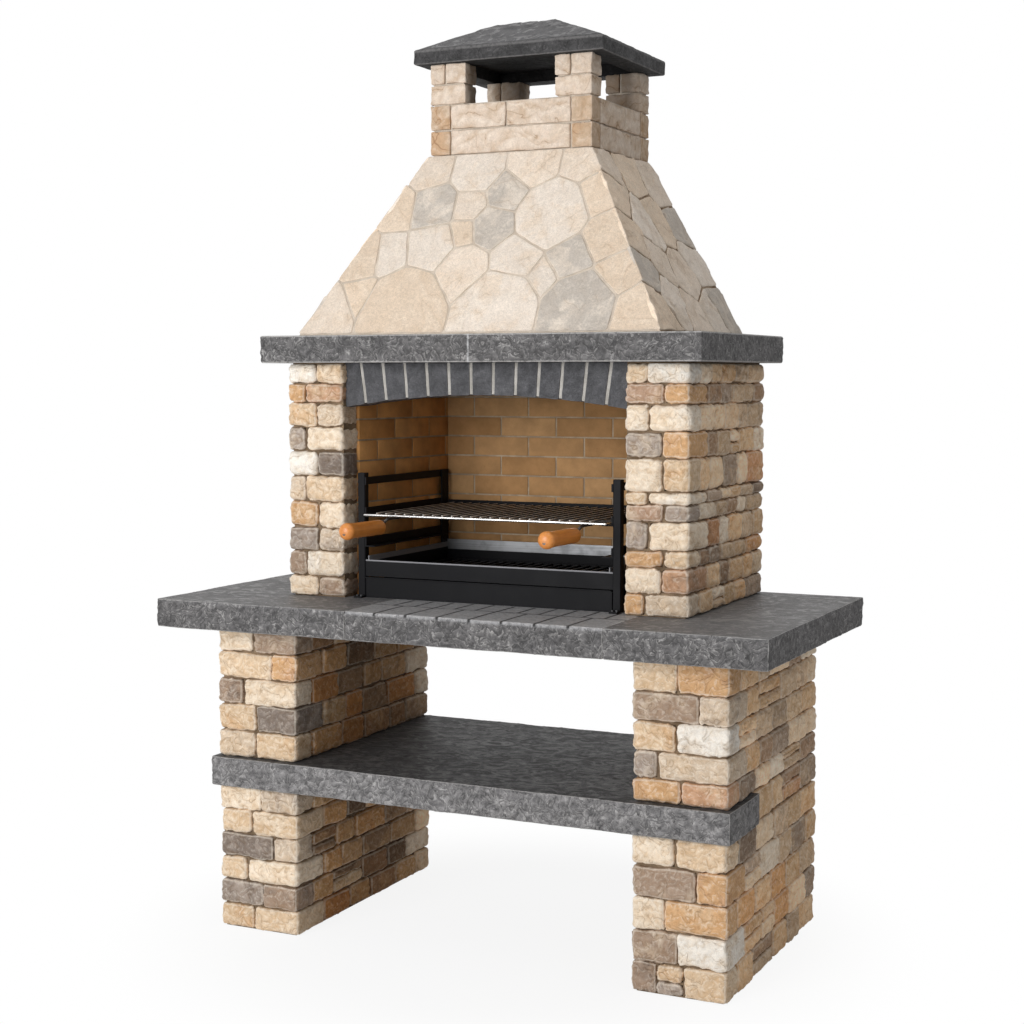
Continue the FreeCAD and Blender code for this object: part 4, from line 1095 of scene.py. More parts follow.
def work_blocks(corners: Array, grid: BlockGrid, cut: StoneCut, seed: int,
                marks: dict[int, Array] | None = None) -> Worked:
    """Rounds blocks off and roughens them.

    Each block has its own random shift of the patterns. A point moves by a slow warp in all
    directions, and outwards by a swell that is highest in the middle of a face, plus facets, plus
    ripples, plus ledges: the height, strayed by noise and cut into steps, each of which swells to its
    lip and falls back at once.

    Args:
        corners: Corners of each block.
        grid: Grid of each block.
        cut: How rough the blocks are.
        seed: Changes the patterns.
        marks: Places along an axis, for a single block.

    Returns:
        The worked blocks.
    """
    rng = np.random.default_rng(seed)
    count = len(corners)
    middle = corners.mean(axis=(1, 2, 3), keepdims=True)
    corners = corners + np.sign(corners - middle) * cut.grow
    radius = rng.uniform(*cut.rounding, count)
    surface = grid.surface(corners, radius, marks)
    shift = rng.uniform(-40, 40, (count, 1, 3))
    grain = surface.points + shift
    relief = np.zeros(surface.edge.shape)
    if cut.hewn:
        relief += cut.hewn * facet_noise(grain, cut.facet, seed)
    if cut.ripple:
        relief += cut.ripple * fractal_noise(grain, cut.wave, seed + 11)
    if cut.ledge:
        step = grain[..., 2] / cut.ledge_rise + 0.9 * fractal_noise(grain, 0.06, seed + 15)
        relief += cut.ledge * (np.mod(step, 1) - 0.5)
    level = np.abs(surface.normals[..., 2])
    relief *= 1 - (1 - cut.top_share) * ease_between(level, 0.6, 0.95)
    across = np.abs(2 * surface.share - 1)
    swell = np.prod(np.where(across > 0.999, 1.0, 1 - across**4), axis=-1)
    points = surface.points + surface.normals * (relief + cut.bulge * swell)[..., None]
    if cut.warp:
        stray = [lattice_noise(grain, cut.warp_length, seed + 21 + axis) for axis in range(3)]
        points = points + cut.warp * np.stack(stray, axis=-1)
    depth = max(cut.hewn + cut.ripple, 1e-9)
    attributes = {
        "edge": surface.edge.ravel(),
        "relief": np.clip(relief / depth * 1.5, -1, 1).ravel(),
        "level": level.ravel(),
        "grain": grain.reshape(-1, 3),
    }
    return Worked(points.reshape(-1, 3), surface.faces(), attributes, surface.points.shape[1])


def joined(parts: Sequence[Worked], tones: Sequence[Array],
           accents: Sequence[Array]) -> tuple[Array, Faces, dict[str, Array]]:
    """Groups of worked blocks as one mesh, with their tones.

    Args:
        parts: The groups.
        tones: Tone of each block, by group.
        accents: Accent of each block, by group.

    Returns:
        Points, faces and attributes of all groups.
    """
    faces: Faces = []
    start = 0
    for part in parts:
        faces += [[corner + start for corner in face] for face in part.faces]
        start += len(part.points)
    toned = [part.toned(*colours) for part, *colours in zip(parts, tones, accents)]
    attributes = {key: np.concatenate([values[key] for values in toned]) for key in toned[0]}
    return np.concatenate([part.points for part in parts]), faces, attributes


STONE_CUT = StoneCut(
    rounding=(8.5 * MM, 13.5 * MM), grow=2.0 * MM, bulge=1.2 * MM, warp=2.0 * MM,
    hewn=2.6 * MM, facet=27 * MM, ripple=0.9 * MM, wave=18 * MM, ledge=3.0 * MM,
)
SLAB_CUT = StoneCut(
    rounding=(4.0 * MM, 4.0 * MM), warp=0.9 * MM, warp_length=0.09, hewn=1.5 * MM, facet=19 * MM,
    ripple=1.2 * MM, wave=14 * MM, ledge=1.6 * MM, ledge_rise=0.024, top_share=0.14,
)
BLOCK_CUT = StoneCut(
    rounding=(2.0 * MM, 3.5 * MM), bulge=0.6 * MM, warp=0.8 * MM,
    hewn=1.4 * MM, facet=36 * MM, ripple=0.7 * MM, wave=24 * MM, ledge=2.4 * MM, ledge_rise=0.042,
)
ARCH_CUT = StoneCut(
    rounding=(2.5 * MM, 3.5 * MM), warp=0.6 * MM, hewn=0.8 * MM, facet=24 * MM, ripple=0.6 * MM, wave=14 * MM,
)
BRICK_CUT = StoneCut(rounding=(1.4 * MM, 2.0 * MM), ripple=0.35 * MM, wave=30 * MM)


def tone_rows(tones: Iterable[Tone], rng: np.random.Generator, spread: float = 0.05) -> Array:
    """Light of each tone, a little lighter or darker from stone to stone.

    Args:
        tones: Tone of each stone.
        rng: Source of the change.
        spread: Greatest change, as a share.

    Returns:
        A row to each stone: red, green, blue and cover.
    """
    rows = np.array([linear(tone.colour) for tone in tones])
    rows[:, :3] *= rng.uniform(1 - spread, 1 + spread, (len(rows), 1))
    return rows


@dataclass
class StonePier:
    """The coursed stones of one leg or pillar.

    front_tones holds the letters of the front stones' tones, from the top down and left to right. long, tall
    and deep are the cells along and up a face and along a side hidden in the wall. near is how near to the
    pier's outside a stone that shows on it reaches, inner how far inside its middle an inner stone stands.
    light and push are the least and greatest lightness beside the front and way out of line, lift the share
    of that way upwards, and joint_darkening the ways in from the faces at which the painted shade in the
    joints starts and is full.
    """

    node: str
    front_tones: str
    slot: str
    seed: int
    long: int = 18
    tall: int = 10
    deep: int = 5
    near: float = 2 * MM
    inner: float = 30 * MM
    light: tuple[float, float] = (0.84, 1.18)
    push: tuple[float, float] = (-1.2 * MM, 1.6 * MM)
    lift: float = 0.3
    joint_darkening: tuple[float, float] = (4.0 * MM, 11.0 * MM)
    cut: StoneCut = STONE_CUT

    def front_stones(self, low: Array, high: Array) -> Array:
        """Numbers of the stones that show on the front, from the top down and left to right.

        Args:
            low: Lowest corner of each stone.
            high: Highest corner of each stone.

        Returns:
            The stones' numbers.
        """
        front = np.flatnonzero(low[:, 1] < low[:, 1].min() + self.near)
        middle = np.round((low + high) / 2, 3)
        return front[np.lexsort((middle[front, 0], -middle[front, 2]))]

    def tones(self, low: Array, high: Array, rng: np.random.Generator) -> list[Tone]:
        """Tone of each stone: planned on the front, drawn from the mix elsewhere.

        Args:
            low: Lowest corner of each stone.
            high: Highest corner of each stone.
            rng: Source of the draw.

        Returns:
            A tone to each stone.
        """
        choices = list(Tone)
        weights = np.array([tone.share for tone in choices])
        tones = [choices[pick] for pick in rng.choice(len(choices), len(low), p=weights / weights.sum())]
        for stone, letter in zip(self.front_stones(low, high), self.front_tones.replace(" ", "")):
            tones[stone] = Tone.of(letter)
        return tones

    def grids(self, low: Array, high: Array) -> list[tuple[BlockGrid, Array]]:
        """Grids of the stones, finer along the faces that they show.

        Args:
            low: Lowest corner of each stone.
            high: Highest corner of each stone.

        Returns:
            Each grid with the numbers of its stones.
        """
        start, end = low.min(axis=0) + self.near, high.max(axis=0) - self.near
        ends = (low[:, 0] < start[0]) | (high[:, 0] > end[0])
        fronts = (low[:, 1] < start[1]) | (high[:, 1] > end[1])
        kinds = (
            (BlockGrid((self.deep, self.long, self.tall)), ends & ~fronts),
            (BlockGrid((self.long, self.deep, self.tall)), fronts & ~ends),
            (BlockGrid((self.long - 2, self.long - 4, self.tall)), ends == fronts),
        )
        return [(grid, np.flatnonzero(kind)) for grid, kind in kinds if kind.any()]

    def build(self, stone: Material) -> None:
        """Lays the stones in the places of the CAD stones.

        Args:
            stone: Finish of the stones.
        """
        low, high = Solids.of(self.node).boxes()
        rng = np.random.default_rng(self.seed)
        tones = self.tones(low, high, rng)
        accents = [Tone.of(tone.accents[rng.integers(2)]) for tone in tones]
        tone, accent = tone_rows(tones, rng), tone_rows(accents, rng)
        beside = np.setdiff1d(np.arange(len(low)), self.front_stones(low, high))
        centre = np.abs(low + high)[:, 0] / 2
        inwards = centre < centre.mean() - self.inner
        ahead = high[:, 1] < high[:, 1].max() - self.near
        inner = beside[(inwards & ahead)[beside]]
        light = rng.uniform(*self.light, (len(beside), 1))
        # Painted light: warm bounce light on the stones beside the front, painted shade on the inner ones.
        for colours in (tone, accent):
            colours[beside] *= SIDE_BOUNCE_LIGHT * light
            colours[inner] *= INNER_PAINTED_SHADE
        push = rng.uniform(*self.push, (len(low), 3)) * np.array([1, 1, self.lift])
        corners = box_corners(low + push, high + push)
        groups = self.grids(low, high)
        parts = [work_blocks(corners[stones], grid, self.cut, self.seed + number)
                 for number, (grid, stones) in enumerate(groups)]
        tone_groups = [tone[stones] for _, stones in groups]
        accent_groups = [accent[stones] for _, stones in groups]
        points, faces, attributes = joined(parts, tone_groups, accent_groups)
        points[:, 2] = np.clip(points[:, 2], low[:, 2].min(), high[:, 2].max())
        # Painted shade in the joints: the stones grow darker deeper into them.
        inside = np.minimum(points - low.min(axis=0), high.max(axis=0) - points)[:, :2].min(axis=1)
        attributes["joint_darkening"] = ease_between(inside, *self.joint_darkening)
        piece = make_piece(f"{self.node}_hewn", points, faces, attributes)
        fit_piece(piece, stone, "masonry", self.slot, self.node)


@dataclass
class CastSlab:
    """A cast slab that fills the box of its CAD node, with so many cells along X, Y and Z."""

    node: str
    cells: tuple[int, int, int]
    seed: int
    cut: StoneCut = SLAB_CUT

    def marks(self, low: Array, high: Array) -> dict[int, Array] | None:
        """Places of grid lines along an axis; none for an evenly spaced slab."""
        return None

    def shape(self, points: Array, low: Array, high: Array) -> tuple[Array, dict[str, Array]]:
        """Last change to the slab's points, and what it adds for the finish; none for a plain slab."""
        return points, {}

    def build(self, material: Material) -> None:
        """Casts the slab.

        Args:
            material: Finish of the slab.
        """
        low, high = node_box(self.node)
        marks = self.marks(low, high)
        counts = [len(marks[axis]) - 1 if marks and axis in marks else self.cells[axis] for axis in range(3)]
        corners = box_corners(low[None], high[None])
        worked = work_blocks(corners, BlockGrid(tuple(counts)), self.cut, self.seed, marks)
        points, added = self.shape(worked.points, low, high)
        piece = make_piece(f"{self.node}_cast", points, worked.faces, {**worked.attributes, **added})
        fit_piece(piece, material, "masonry", "cast_slab", self.node)

    def even_marks(self, length: float, axis: int) -> Array:
        """Evenly spaced grid lines, with the roundings' own lines at both ends."""
        radius = np.array([self.cut.rounding[0]])
        return BlockGrid(self.cells).spaced(np.array([length]), radius, axis)[0]


@dataclass
class PavedSlab(CastSlab):
    """A slab of the worktop, scored as rows of pavers.

    row_depth and front_paver size the front row; hearth_paver is the width in the second row, which reaches
    back to hearth_end. groove is half the width of a score. dust and rim are how pale the rows and the worn
    rims of the scores are, joint_darkening how dark a score's bottom is, and clearance how far the top stays
    below its plane, for the drawer that slides over it.
    """

    row_depth: float = 0.152
    front_paver: float = 0.088
    hearth_paver: float = 0.057
    hearth_end: float = 0.264
    groove: float = 5.5 * MM
    depth: float = 1.2 * MM
    dust: float = 0.46
    rim: float = 0.40
    joint_darkening: float = 0.94
    clearance: float = 0.2 * MM

    def scores(self, width: float, paver: float) -> Array:
        """Places of the scores between pavers of about the given width."""
        count = round(width / paver)
        return width * np.arange(1, count) / count

    def marks(self, low: Array, high: Array) -> dict[int, Array]:
        """Grid lines: evenly spaced ones, and five across each score.

        Args:
            low: Lowest corner of the slab.
            high: Highest corner of the slab.

        Returns:
            Places by axis.
        """
        width, length = (high - low)[:2]
        across = self.groove * np.array([-1.0, -0.5, 0.0, 0.5, 1.0])
        pavers = (self.front_paver, self.hearth_paver)
        columns = np.concatenate([self.scores(width, paver) for paver in pavers])
        rows = np.array([self.row_depth, self.hearth_end])
        places = {}
        for axis, extent, lines in ((0, width, columns), (1, length, rows)):
            close = (lines[:, None] + across).ravel()
            even = self.even_marks(extent, axis)
            clear = np.abs(even[:, None] - lines).min(axis=1) > 1.5 * self.groove
            places[axis] = np.unique(np.round(np.concatenate([even[clear], close]), 5))
        return places

    def sunk(self, place: Array, lines: Array) -> Array:
        """Share of a score's depth at places across the given lines."""
        return 1 - ease_between(np.abs(place[:, None] - lines).min(axis=1), 0, self.groove)

    def shape(self, points: Array, low: Array, high: Array) -> tuple[Array, dict[str, Array]]:
        """Sinks the scores into the top: each falls off to both sides of its line by a smooth step.

        What stands above the top's plane is cut off.

        Args:
            points: The slab's points.
            low: Lowest corner of the slab.
            high: Highest corner of the slab.

        Returns:
            The scored points, and how pale and how dirty the scores are at each.
        """
        x, y = points[:, 0] - low[0], points[:, 1] - low[1]
        width = high[0] - low[0]
        front = self.sunk(x, self.scores(width, self.front_paver)) * (y < self.row_depth)
        second = (y > self.row_depth) * (y < self.hearth_end)
        hearth = self.sunk(x, self.scores(width, self.hearth_paver)) * second
        share = np.maximum.reduce([front, hearth, self.sunk(y, np.array([self.row_depth]))])
        top = ease_between(points[:, 2], high[2] - 12 * MM, high[2] - 5 * MM)
        sunk_points = points - np.stack([0 * x, 0 * x, self.depth * share * top], axis=-1)
        sunk_points[:, 2] = np.minimum(sunk_points[:, 2], high[2] - self.clearance)
        dusty = self.dust * (1 - ease_between(y, self.hearth_end, self.hearth_end + 0.03))
        pale = np.maximum(self.rim * 4 * share * (1 - share), dusty) * top
        dirty = self.joint_darkening * ease_between(share, 0.15, 0.60) * top
        return sunk_points, {"score": pale, "soot": dirty}


@dataclass
class ShelfSlab(CastSlab):
    """The shelf, narrower behind its ears; bearing is half that width, step the length of the change."""

    ear_depth: float = 0.225
    bearing: float = 0.539
    step: float = 2.0 * MM

    def marks(self, low: Array, high: Array) -> dict[int, Array]:
        """Grid lines along Y: evenly spaced ones, and one on each side of the ears' back.

        Args:
            low: Lowest corner of the shelf.
            high: Highest corner of the shelf.

        Returns:
            Places by axis.
        """
        even = self.even_marks(high[1] - low[1], 1)
        clear = even[np.abs(even - self.ear_depth) > 2 * self.step]
        return {1: np.sort(np.concatenate([clear, self.ear_depth + self.step * np.array([-0.5, 0.5])]))}

    def shape(self, points: Array, low: Array, high: Array) -> tuple[Array, dict[str, Array]]:
        """Draws the slab in behind the ears: X is scaled from the ears' half width to the bearing's.

        Args:
            points: The shelf's points.
            low: Lowest corner of the shelf.
            high: Highest corner of the shelf.

        Returns:
            The drawn-in points, and nothing more for the finish.
        """
        behind = points[:, 1] - low[1] > self.ear_depth
        scale = np.where(behind, self.bearing / high[0], 1.0)
        return points * np.stack([scale, np.ones_like(scale), np.ones_like(scale)], axis=-1), {}


@dataclass
class Mantel:
    """The mantel slab in two halves, round the throat of the flue.

    throat holds its half width, front and back; steps the stations along each leg of a half and the points
    along each side of its profile. joint holds the ways from the joint at which its pale edge starts to fade
    and is gone.
    """

    throat: Triple = (0.320, 0.004, 0.324)
    rounding: float = 5.0 * MM
    steps: tuple[int, int] = (84, 13)
    joint: tuple[float, float] = (0.5 * MM, 3.5 * MM)
    pale: float = 0.8
    seed: int = 71
    cut: StoneCut = SLAB_CUT

    def profile(self, width: Array, height: float) -> tuple[Array, Array, Array]:
        """Rounded rectangle, as shares across a strip and up it, for strips of the given widths.

        Args:
            width: Width of the strip at each station.
            height: Height of the strip.

        Returns:
            Shares across, shares up, and nearness to an arris.
        """
        turn = np.linspace(0, math.pi / 2, 4)
        side = np.linspace(0, 1, self.steps[1])[1:-1]
        reach = self.rounding / np.stack([width, np.full_like(width, height)], axis=-1)[:, None]
        arcs = []
        for corner, place in enumerate(((1, 1), (0, 1), (0, 0), (1, 0))):
            angle = turn + corner * math.pi / 2
            circle = np.stack([np.cos(angle), np.sin(angle)], axis=-1)
            arcs.append(np.array(place) + reach * (circle - (2 * np.array(place) - 1)))
        shares = []
        for arc, following in zip(arcs, arcs[1:] + arcs[:1]):
            start, end = arc[:, -1:], following[:, :1]
            shares += [arc, start + (end - start) * side[:, None]]
        edge = np.tile(np.concatenate([np.sin(2 * turn), 0 * side]), len(arcs))
        ring = np.concatenate(shares, axis=1)
        return ring[..., 0], ring[..., 1], edge

    def build(self, material: Material) -> None:
        """Casts both halves: a rounded rectangle carried round the throat, from joint to joint.

        Args:
            material: Finish of the slab.
        """
        for name, side in (("left", -1.0), ("right", 1.0)):
            node = f"mantel_{name}"
            low, high = node_box(node)
            reach = high[0] if side > 0 else -low[0]
            half, near, far = self.throat
            outer = np.array([(0, low[1]), (reach, low[1]), (reach, high[1]), (0, high[1])])
            inner = np.array([(0, near), (half, near), (half, far), (0, far)])
            near_joint = np.array([0.0, 0.003, 0.006])
            between = np.linspace(0, 3, 3 * self.steps[0] + 1)[1:-1]
            share = np.concatenate([near_joint, between, 3 - near_joint[::-1]])
            paths = [
                np.stack([np.interp(share, range(4), line[:, axis]) for axis in range(2)], axis=-1)
                for line in (inner, outer)
            ]
            width = np.linalg.norm(paths[1] - paths[0], axis=-1)
            across, up, edge = self.profile(width, high[2] - low[2])
            plan = paths[0][:, None] + (paths[1] - paths[0])[:, None] * across[..., None]
            level = low[2] + (high[2] - low[2]) * up
            points = np.concatenate([plan * np.array([side, 1.0]), level[..., None]], axis=-1)
            points = points.reshape(-1, 3)
            faces = faced_outwards(points, skin_faces(len(share), across.shape[1]))
            outwards = unit(points - np.array([side * half, (near + far) / 2, level.mean()]))
            rough = self.cut.ripple * fractal_noise(points, self.cut.wave, self.seed)
            rough += self.cut.hewn * facet_noise(points, self.cut.facet, self.seed + 2)
            flat = ((up > 0.999) | (up < 0.001)).ravel()
            rough *= np.where(flat, self.cut.top_share, 1.0)
            joint = np.abs(points[:, 0]) < 1 * MM
            outwards[:, 2] = 0
            outwards = unit(outwards)
            points = points + np.where(joint, 0, rough)[:, None] * outwards
            relief = np.clip(1.6 * rough / (self.cut.ripple + self.cut.hewn), -1, 1)
            attributes = {
                "edge": np.tile(edge, len(share)),
                "relief": relief,
                "level": flat.astype(float),
                "score": self.pale * (1 - ease_between(np.abs(points[:, 0]), *self.joint)),
            }
            piece = make_piece(f"{node}_cast", points, faces, attributes, 50)
            fit_piece(piece, material, "masonry", "cast_slab", node)


@dataclass
class Arch:
    """The flat-topped arch of wedge blocks."""

    grid: BlockGrid = field(default_factory=lambda: BlockGrid((8, 8, 10)))
    seed: int = 91
    cut: StoneCut = ARCH_CUT

    def corners(self) -> Array:
        """Corners of the wedge blocks, read from the CAD blocks.

        Returns:
            Corners in the order that the block grid reads.
        """
        wedges = []
        for points in Solids.of("arch_blocks").each():
            wedge = np.zeros((2, 2, 2, 3))
            for back, y in enumerate((points[:, 1].min(), points[:, 1].max())):
                ring = points[np.abs(points[:, 1] - y) < 1 * MM]
                ring = ring[np.argsort(ring[:, 2])]
                for high, ends in enumerate((ring[:2], ring[2:])):
                    ends = ends[np.argsort(ends[:, 0])]
                    wedge[0, back, high], wedge[1, back, high] = ends[0], ends[1]
            wedges.append(wedge)
        return np.array(wedges)

    def build(self, block: Material, joint: Material) -> None:
        """Sets the blocks and dresses the joints.

        Args:
            block: Finish of the blocks.
            joint: Finish of the mortar between them.
        """
        worked = work_blocks(self.corners(), self.grid, self.cut, self.seed)
        piece = make_piece("arch_wedges", worked.points, worked.faces, worked.attributes)
        fit_piece(piece, block, "masonry", "arch_block", "arch_blocks")
        dress_nodes(joint, "arch_joints")


@dataclass
class Lining:
    """The firebrick lining, in colours between those of clay; left_painted_light lightens and reddens the
    left bricks.
    """

    clay: tuple[Colour, Colour] = ((166, 125, 82), (187, 147, 103))
    left_painted_light: Array = field(default_factory=lambda: np.array([1.42, 1.26, 1.0, 1.0]))
    grid: BlockGrid = field(default_factory=lambda: BlockGrid((6, 4, 4), 1))
    seed: int = 101
    cut: StoneCut = BRICK_CUT

    def corners(self, points: Array) -> Array:
        """Corners of a brick whose ends stand square to Y but whose face may be splayed.

        Args:
            points: Corner points of the CAD brick.

        Returns:
            Corners indexed by low or high along X, Y and Z.
        """
        brick = np.zeros((2, 2, 2, 3))
        low, high = points.min(axis=0), points.max(axis=0)
        for far, y in enumerate((low[1], high[1])):
            end = points[np.abs(points[:, 1] - y) < 0.2 * MM]
            for right, x in enumerate((end[:, 0].min(), end[:, 0].max())):
                for top, z in enumerate((low[2], high[2])):
                    brick[right, far, top] = (x, y, z)
        return brick

    def build(self, brick: Material, joint: Material) -> None:
        """Lays the bricks and dresses the joints.

        Args:
            brick: Finish of the bricks.
            joint: Finish of the mortar.
        """
        for number, side in enumerate(("left", "right", "back")):
            node = f"{side}_lining_bricks"
            corners = np.array([self.corners(points) for points in Solids.of(node).each()])
            worked = work_blocks(corners, self.grid, self.cut, self.seed + number)
            rng = np.random.default_rng(self.seed + 10 + number)
            share = rng.uniform(0, 1, (len(corners), 1))
            first, second = (np.array(linear(colour)) for colour in self.clay)
            # Painted light: the left wall's bricks made lighter and redder.
            tone = (first + (second - first) * share) * (self.left_painted_light if side == "left" else 1.0)
            attributes = worked.toned(tone, tone)
            piece = make_piece(f"{node}_fired", worked.points, worked.faces, attributes)
            fit_piece(piece, brick, "masonry", "firebrick", node)
            dress_nodes(joint, f"{side}_lining_mortar")


@dataclass
class Hood:
    """The hood: pointed walls and the flagstones let into them.

    flush is how far the pointing stands out towards the face of the flags, sides the points round a flag, rim
    its rounding, grow how far it covers the joint and stray how far its rim strays. riven is the depth of the
    relief and hollow that of its hollows as a share of its crests; side_riven and side_painted_light are
    multiples of the front's, the second a painted light that lightens the sides' flags. greys holds the
    places of the front's grey flags, across and up as shares of the face, side_greys their number on each
    side, and accents the patches on pale and on grey flags. The sides' pointing is darker, as painted shade.
    """

    flush: float = 3.0 * MM
    wall: float = 55.0 * MM
    sides: int = 80
    rim: float = 3.0 * MM
    grow: float = 0.8 * MM
    riven: float = 1.5 * MM
    hollow: float = 0.35
    stray: float = 1.3 * MM
    side_riven: float = 3.0
    side_painted_light: float = 1.22
    side_greys: int = 3
    seed: int = 131
    creams: tuple[Colour, ...] = ((224, 212, 199), (222, 207, 191), (219, 200, 179))
    grey: Colour = (188, 179, 169)
    accents: tuple[Colour, ...] = ((220, 201, 180), (226, 213, 198))
    greys: tuple[tuple[float, float], ...] = (
        (-0.605, 0.700), (0.036, 0.784), (-0.030, 0.573), (0.550, 0.420), (0.565, 0.170),
    )

    def frustum(self, offset: float) -> Array:
        """Corners of the hood, moved outwards by an offset.

        Args:
            offset: How far they move.

        Returns:
            Corners indexed by left or right, front or back, base or top.
        """
        low, high = node_box("hood_front_wall")
        back = node_box("hood_back_wall")[1][1]
        stack_low, stack_high = node_box("stack_lower_course")
        corners = np.zeros((2, 2, 2, 3))
        rings = ((low[0], high[0], low[1], low[2]), (stack_low[0], stack_high[0], stack_low[1], high[2]))
        for top, (left, right, front, level) in enumerate(rings):
            for side, x in enumerate((left - offset, right + offset)):
                corners[side, 0, top] = (x, front - offset, level)
                corners[side, 1, top] = (x, back, level)
        return corners

    def walls(self, pointing: Material, shaded: Material) -> None:
        """Builds the front and side walls as mitred blocks with a rough face.

        Args:
            pointing: Finish of the front's pointing.
            shaded: Finish of the sides' pointing, darker as painted shade.
        """
        outer = self.frustum(self.flush)
        inner = self.frustum(-self.wall)
        inner[:, 1, :, 1] -= self.wall
        cut = StoneCut(rounding=(1.0 * MM, 1.0 * MM), ripple=0.7 * MM, wave=24 * MM)
        front = np.stack([outer[:, 0], inner[:, 0]], axis=1)
        left = np.stack([outer[0], inner[0]], axis=0)
        right = np.stack([inner[1], outer[1]], axis=0)
        for name, corners, cells, material in (
            ("front", front, (48, 5, 32), pointing), ("left", left, (5, 40, 32), shaded),
            ("right", right, (5, 40, 32), shaded),
        ):
            node = f"hood_{name}_wall"
            worked = work_blocks(corners[None], BlockGrid(cells, 1), cut, self.seed)
            label = f"hood_{name}_pointing"
            piece = make_piece(label, worked.points, worked.faces, worked.attributes, 40)
            fit_piece(piece, material, "masonry", "hood_pointing", node)

    def outline(self, face: Array) -> Array:
        """Outline of a flag at equal steps along its rim, its corners softened by a short running mean.

        Args:
            face: Corner points of the flag's face, in its own plane.

        Returns:
            Points round the flag.
        """
        ring = face[np.argsort(np.arctan2(face[:, 1], face[:, 0]))]
        ring = np.concatenate([ring, ring[:1]])
        along = np.concatenate([[0], np.cumsum(np.linalg.norm(np.diff(ring, axis=0), axis=1))])
        step = np.linspace(0, along[-1], self.sides, endpoint=False)
        points = np.stack([np.interp(step, along, ring[:, axis]) for axis in range(2)], axis=-1)
        return (np.roll(points, 1, axis=0) + 2 * points + np.roll(points, -1, axis=0)) / 4

    def flag(self, corners: Array, outwards: Array, seed: int, riven: float) -> tuple[Array, Array, Array]:
        """One flagstone: rings from its middle to its rim, then down its side.

        Each ring is the flag's own outline drawn in towards its middle, and strayed by noise. The face
        has a riven relief of facets and ripples, shallower in its hollows; the rim falls off by a
        quarter round.

        Args:
            corners: Corner points of the CAD flag.
            outwards: Direction out of the hood's face.
            seed: Changes the relief.
            riven: Depth of the relief.

        Returns:
            Points, nearness to an arris, and relief.
        """
        height = corners @ outwards
        face = corners[height > height.max() - 1 * MM]
        middle = face.mean(axis=0)
        across = unit(np.cross(np.array([0.0, 0.0, 1.0]), outwards))
        up = np.cross(outwards, across)
        outline = self.outline(np.stack([(face - middle) @ across, (face - middle) @ up], axis=-1))
        ray = unit(outline)
        outline = outline + self.grow * ray
        turn = np.linspace(0, math.pi / 2, 4)
        shares = np.array([0.08, 0.22, 0.36, 0.5, 0.63, 0.75, 0.86])
        face_rings = shares[:, None, None] * (outline - self.rim * ray)
        rim_rings = outline - self.rim * (1 - np.sin(turn))[:, None, None] * ray
        plan = np.concatenate([face_rings, rim_rings, outline[None]])
        drops = np.concatenate([0 * shares, self.rim * (1 - np.cos(turn)), [3 * self.rim]])
        arris = np.concatenate([0 * shares, np.sin(2 * turn), [0.0]])
        points = middle + plan[..., :1] * across + plan[..., 1:] * up
        relief = riven * (0.5 * fractal_noise(points, 0.04, seed) + facet_noise(points, 0.045, seed + 5))
        relief = np.where(relief < 0, self.hollow * relief, relief)
        fall = np.where(drops > 2 * self.rim, 0.0, 1.0)[:, None]
        points = points + outwards * (relief * fall - drops[:, None])[..., None]
        inner = np.concatenate([shares, np.ones(len(turn) + 1)])[:, None]
        stray = self.stray * fractal_noise(points, 0.04, seed + 9) * inner
        points = points + stray[..., None] * (ray[:, :1] * across + ray[:, 1:] * up)
        edge = np.repeat(arris, self.sides)
        return points.reshape(-1, 3), edge, np.clip(1.4 * relief / riven, -1, 1).ravel()

    def grey_flags(self, middles: Array) -> set[int]:
        """Numbers of the grey flags of the front: those nearest to the listed places.

        Args:
            middles: Middle of each flag.

        Returns:
            Their numbers.
        """
        base = self.frustum(0.0)
        bottom, top = base[1, 0]
        numbers = set()
        for across, up in self.greys:
            half = bottom[0] + (top[0] - bottom[0]) * up
            place = np.array([across * half, bottom[2] + (top[2] - bottom[2]) * up])
            numbers.add(int(np.argmin(np.linalg.norm(middles[:, [0, 2]] - place, axis=1))))
        return numbers

    def flags(self, material: Material) -> None:
        """Lays the flagstones of the front and both sides.

        Args:
            material: Finish of the flags.
        """
        base = self.frustum(0.0)
        slopes = {
            "front": unit(np.cross(base[1, 0, 0] - base[0, 0, 0], base[0, 0, 1] - base[0, 0, 0])),
            "left": unit(np.cross(base[0, 0, 0] - base[0, 1, 0], base[0, 0, 1] - base[0, 0, 0])),
            "right": unit(np.cross(base[1, 1, 0] - base[1, 0, 0], base[1, 0, 1] - base[1, 0, 0])),
        }
        for number, (name, outwards) in enumerate(slopes.items()):
            node = f"hood_{name}_flags"
            solids = Solids.of(node).each()
            middles = np.array([points.mean(axis=0) for points in solids])
            rng = np.random.default_rng(self.seed + 10 + number)
            riven = self.riven * (1.0 if name == "front" else self.side_riven)
            first_seed = self.seed + 20 + 40 * number
            parts = [self.flag(points, outwards, first_seed + flag, riven)
                     for flag, points in enumerate(solids)]
            per_flag = len(parts[0][0])
            points = np.concatenate([part[0] for part in parts])
            one = faced_outwards(parts[0][0], skin_faces(per_flag // self.sides, self.sides))
            starts = range(0, len(points), per_flag)
            faces = [[corner + start for corner in face] for start in starts for face in one]
            if name == "front":
                grey = self.grey_flags(middles)
            else:
                grey = set(rng.choice(len(parts), self.side_greys, replace=False))
            picks = [self.grey if flag in grey else self.creams[rng.integers(len(self.creams))]
                     for flag in range(len(parts))]
            light = rng.uniform(0.94, 1.04, (len(parts), 1))
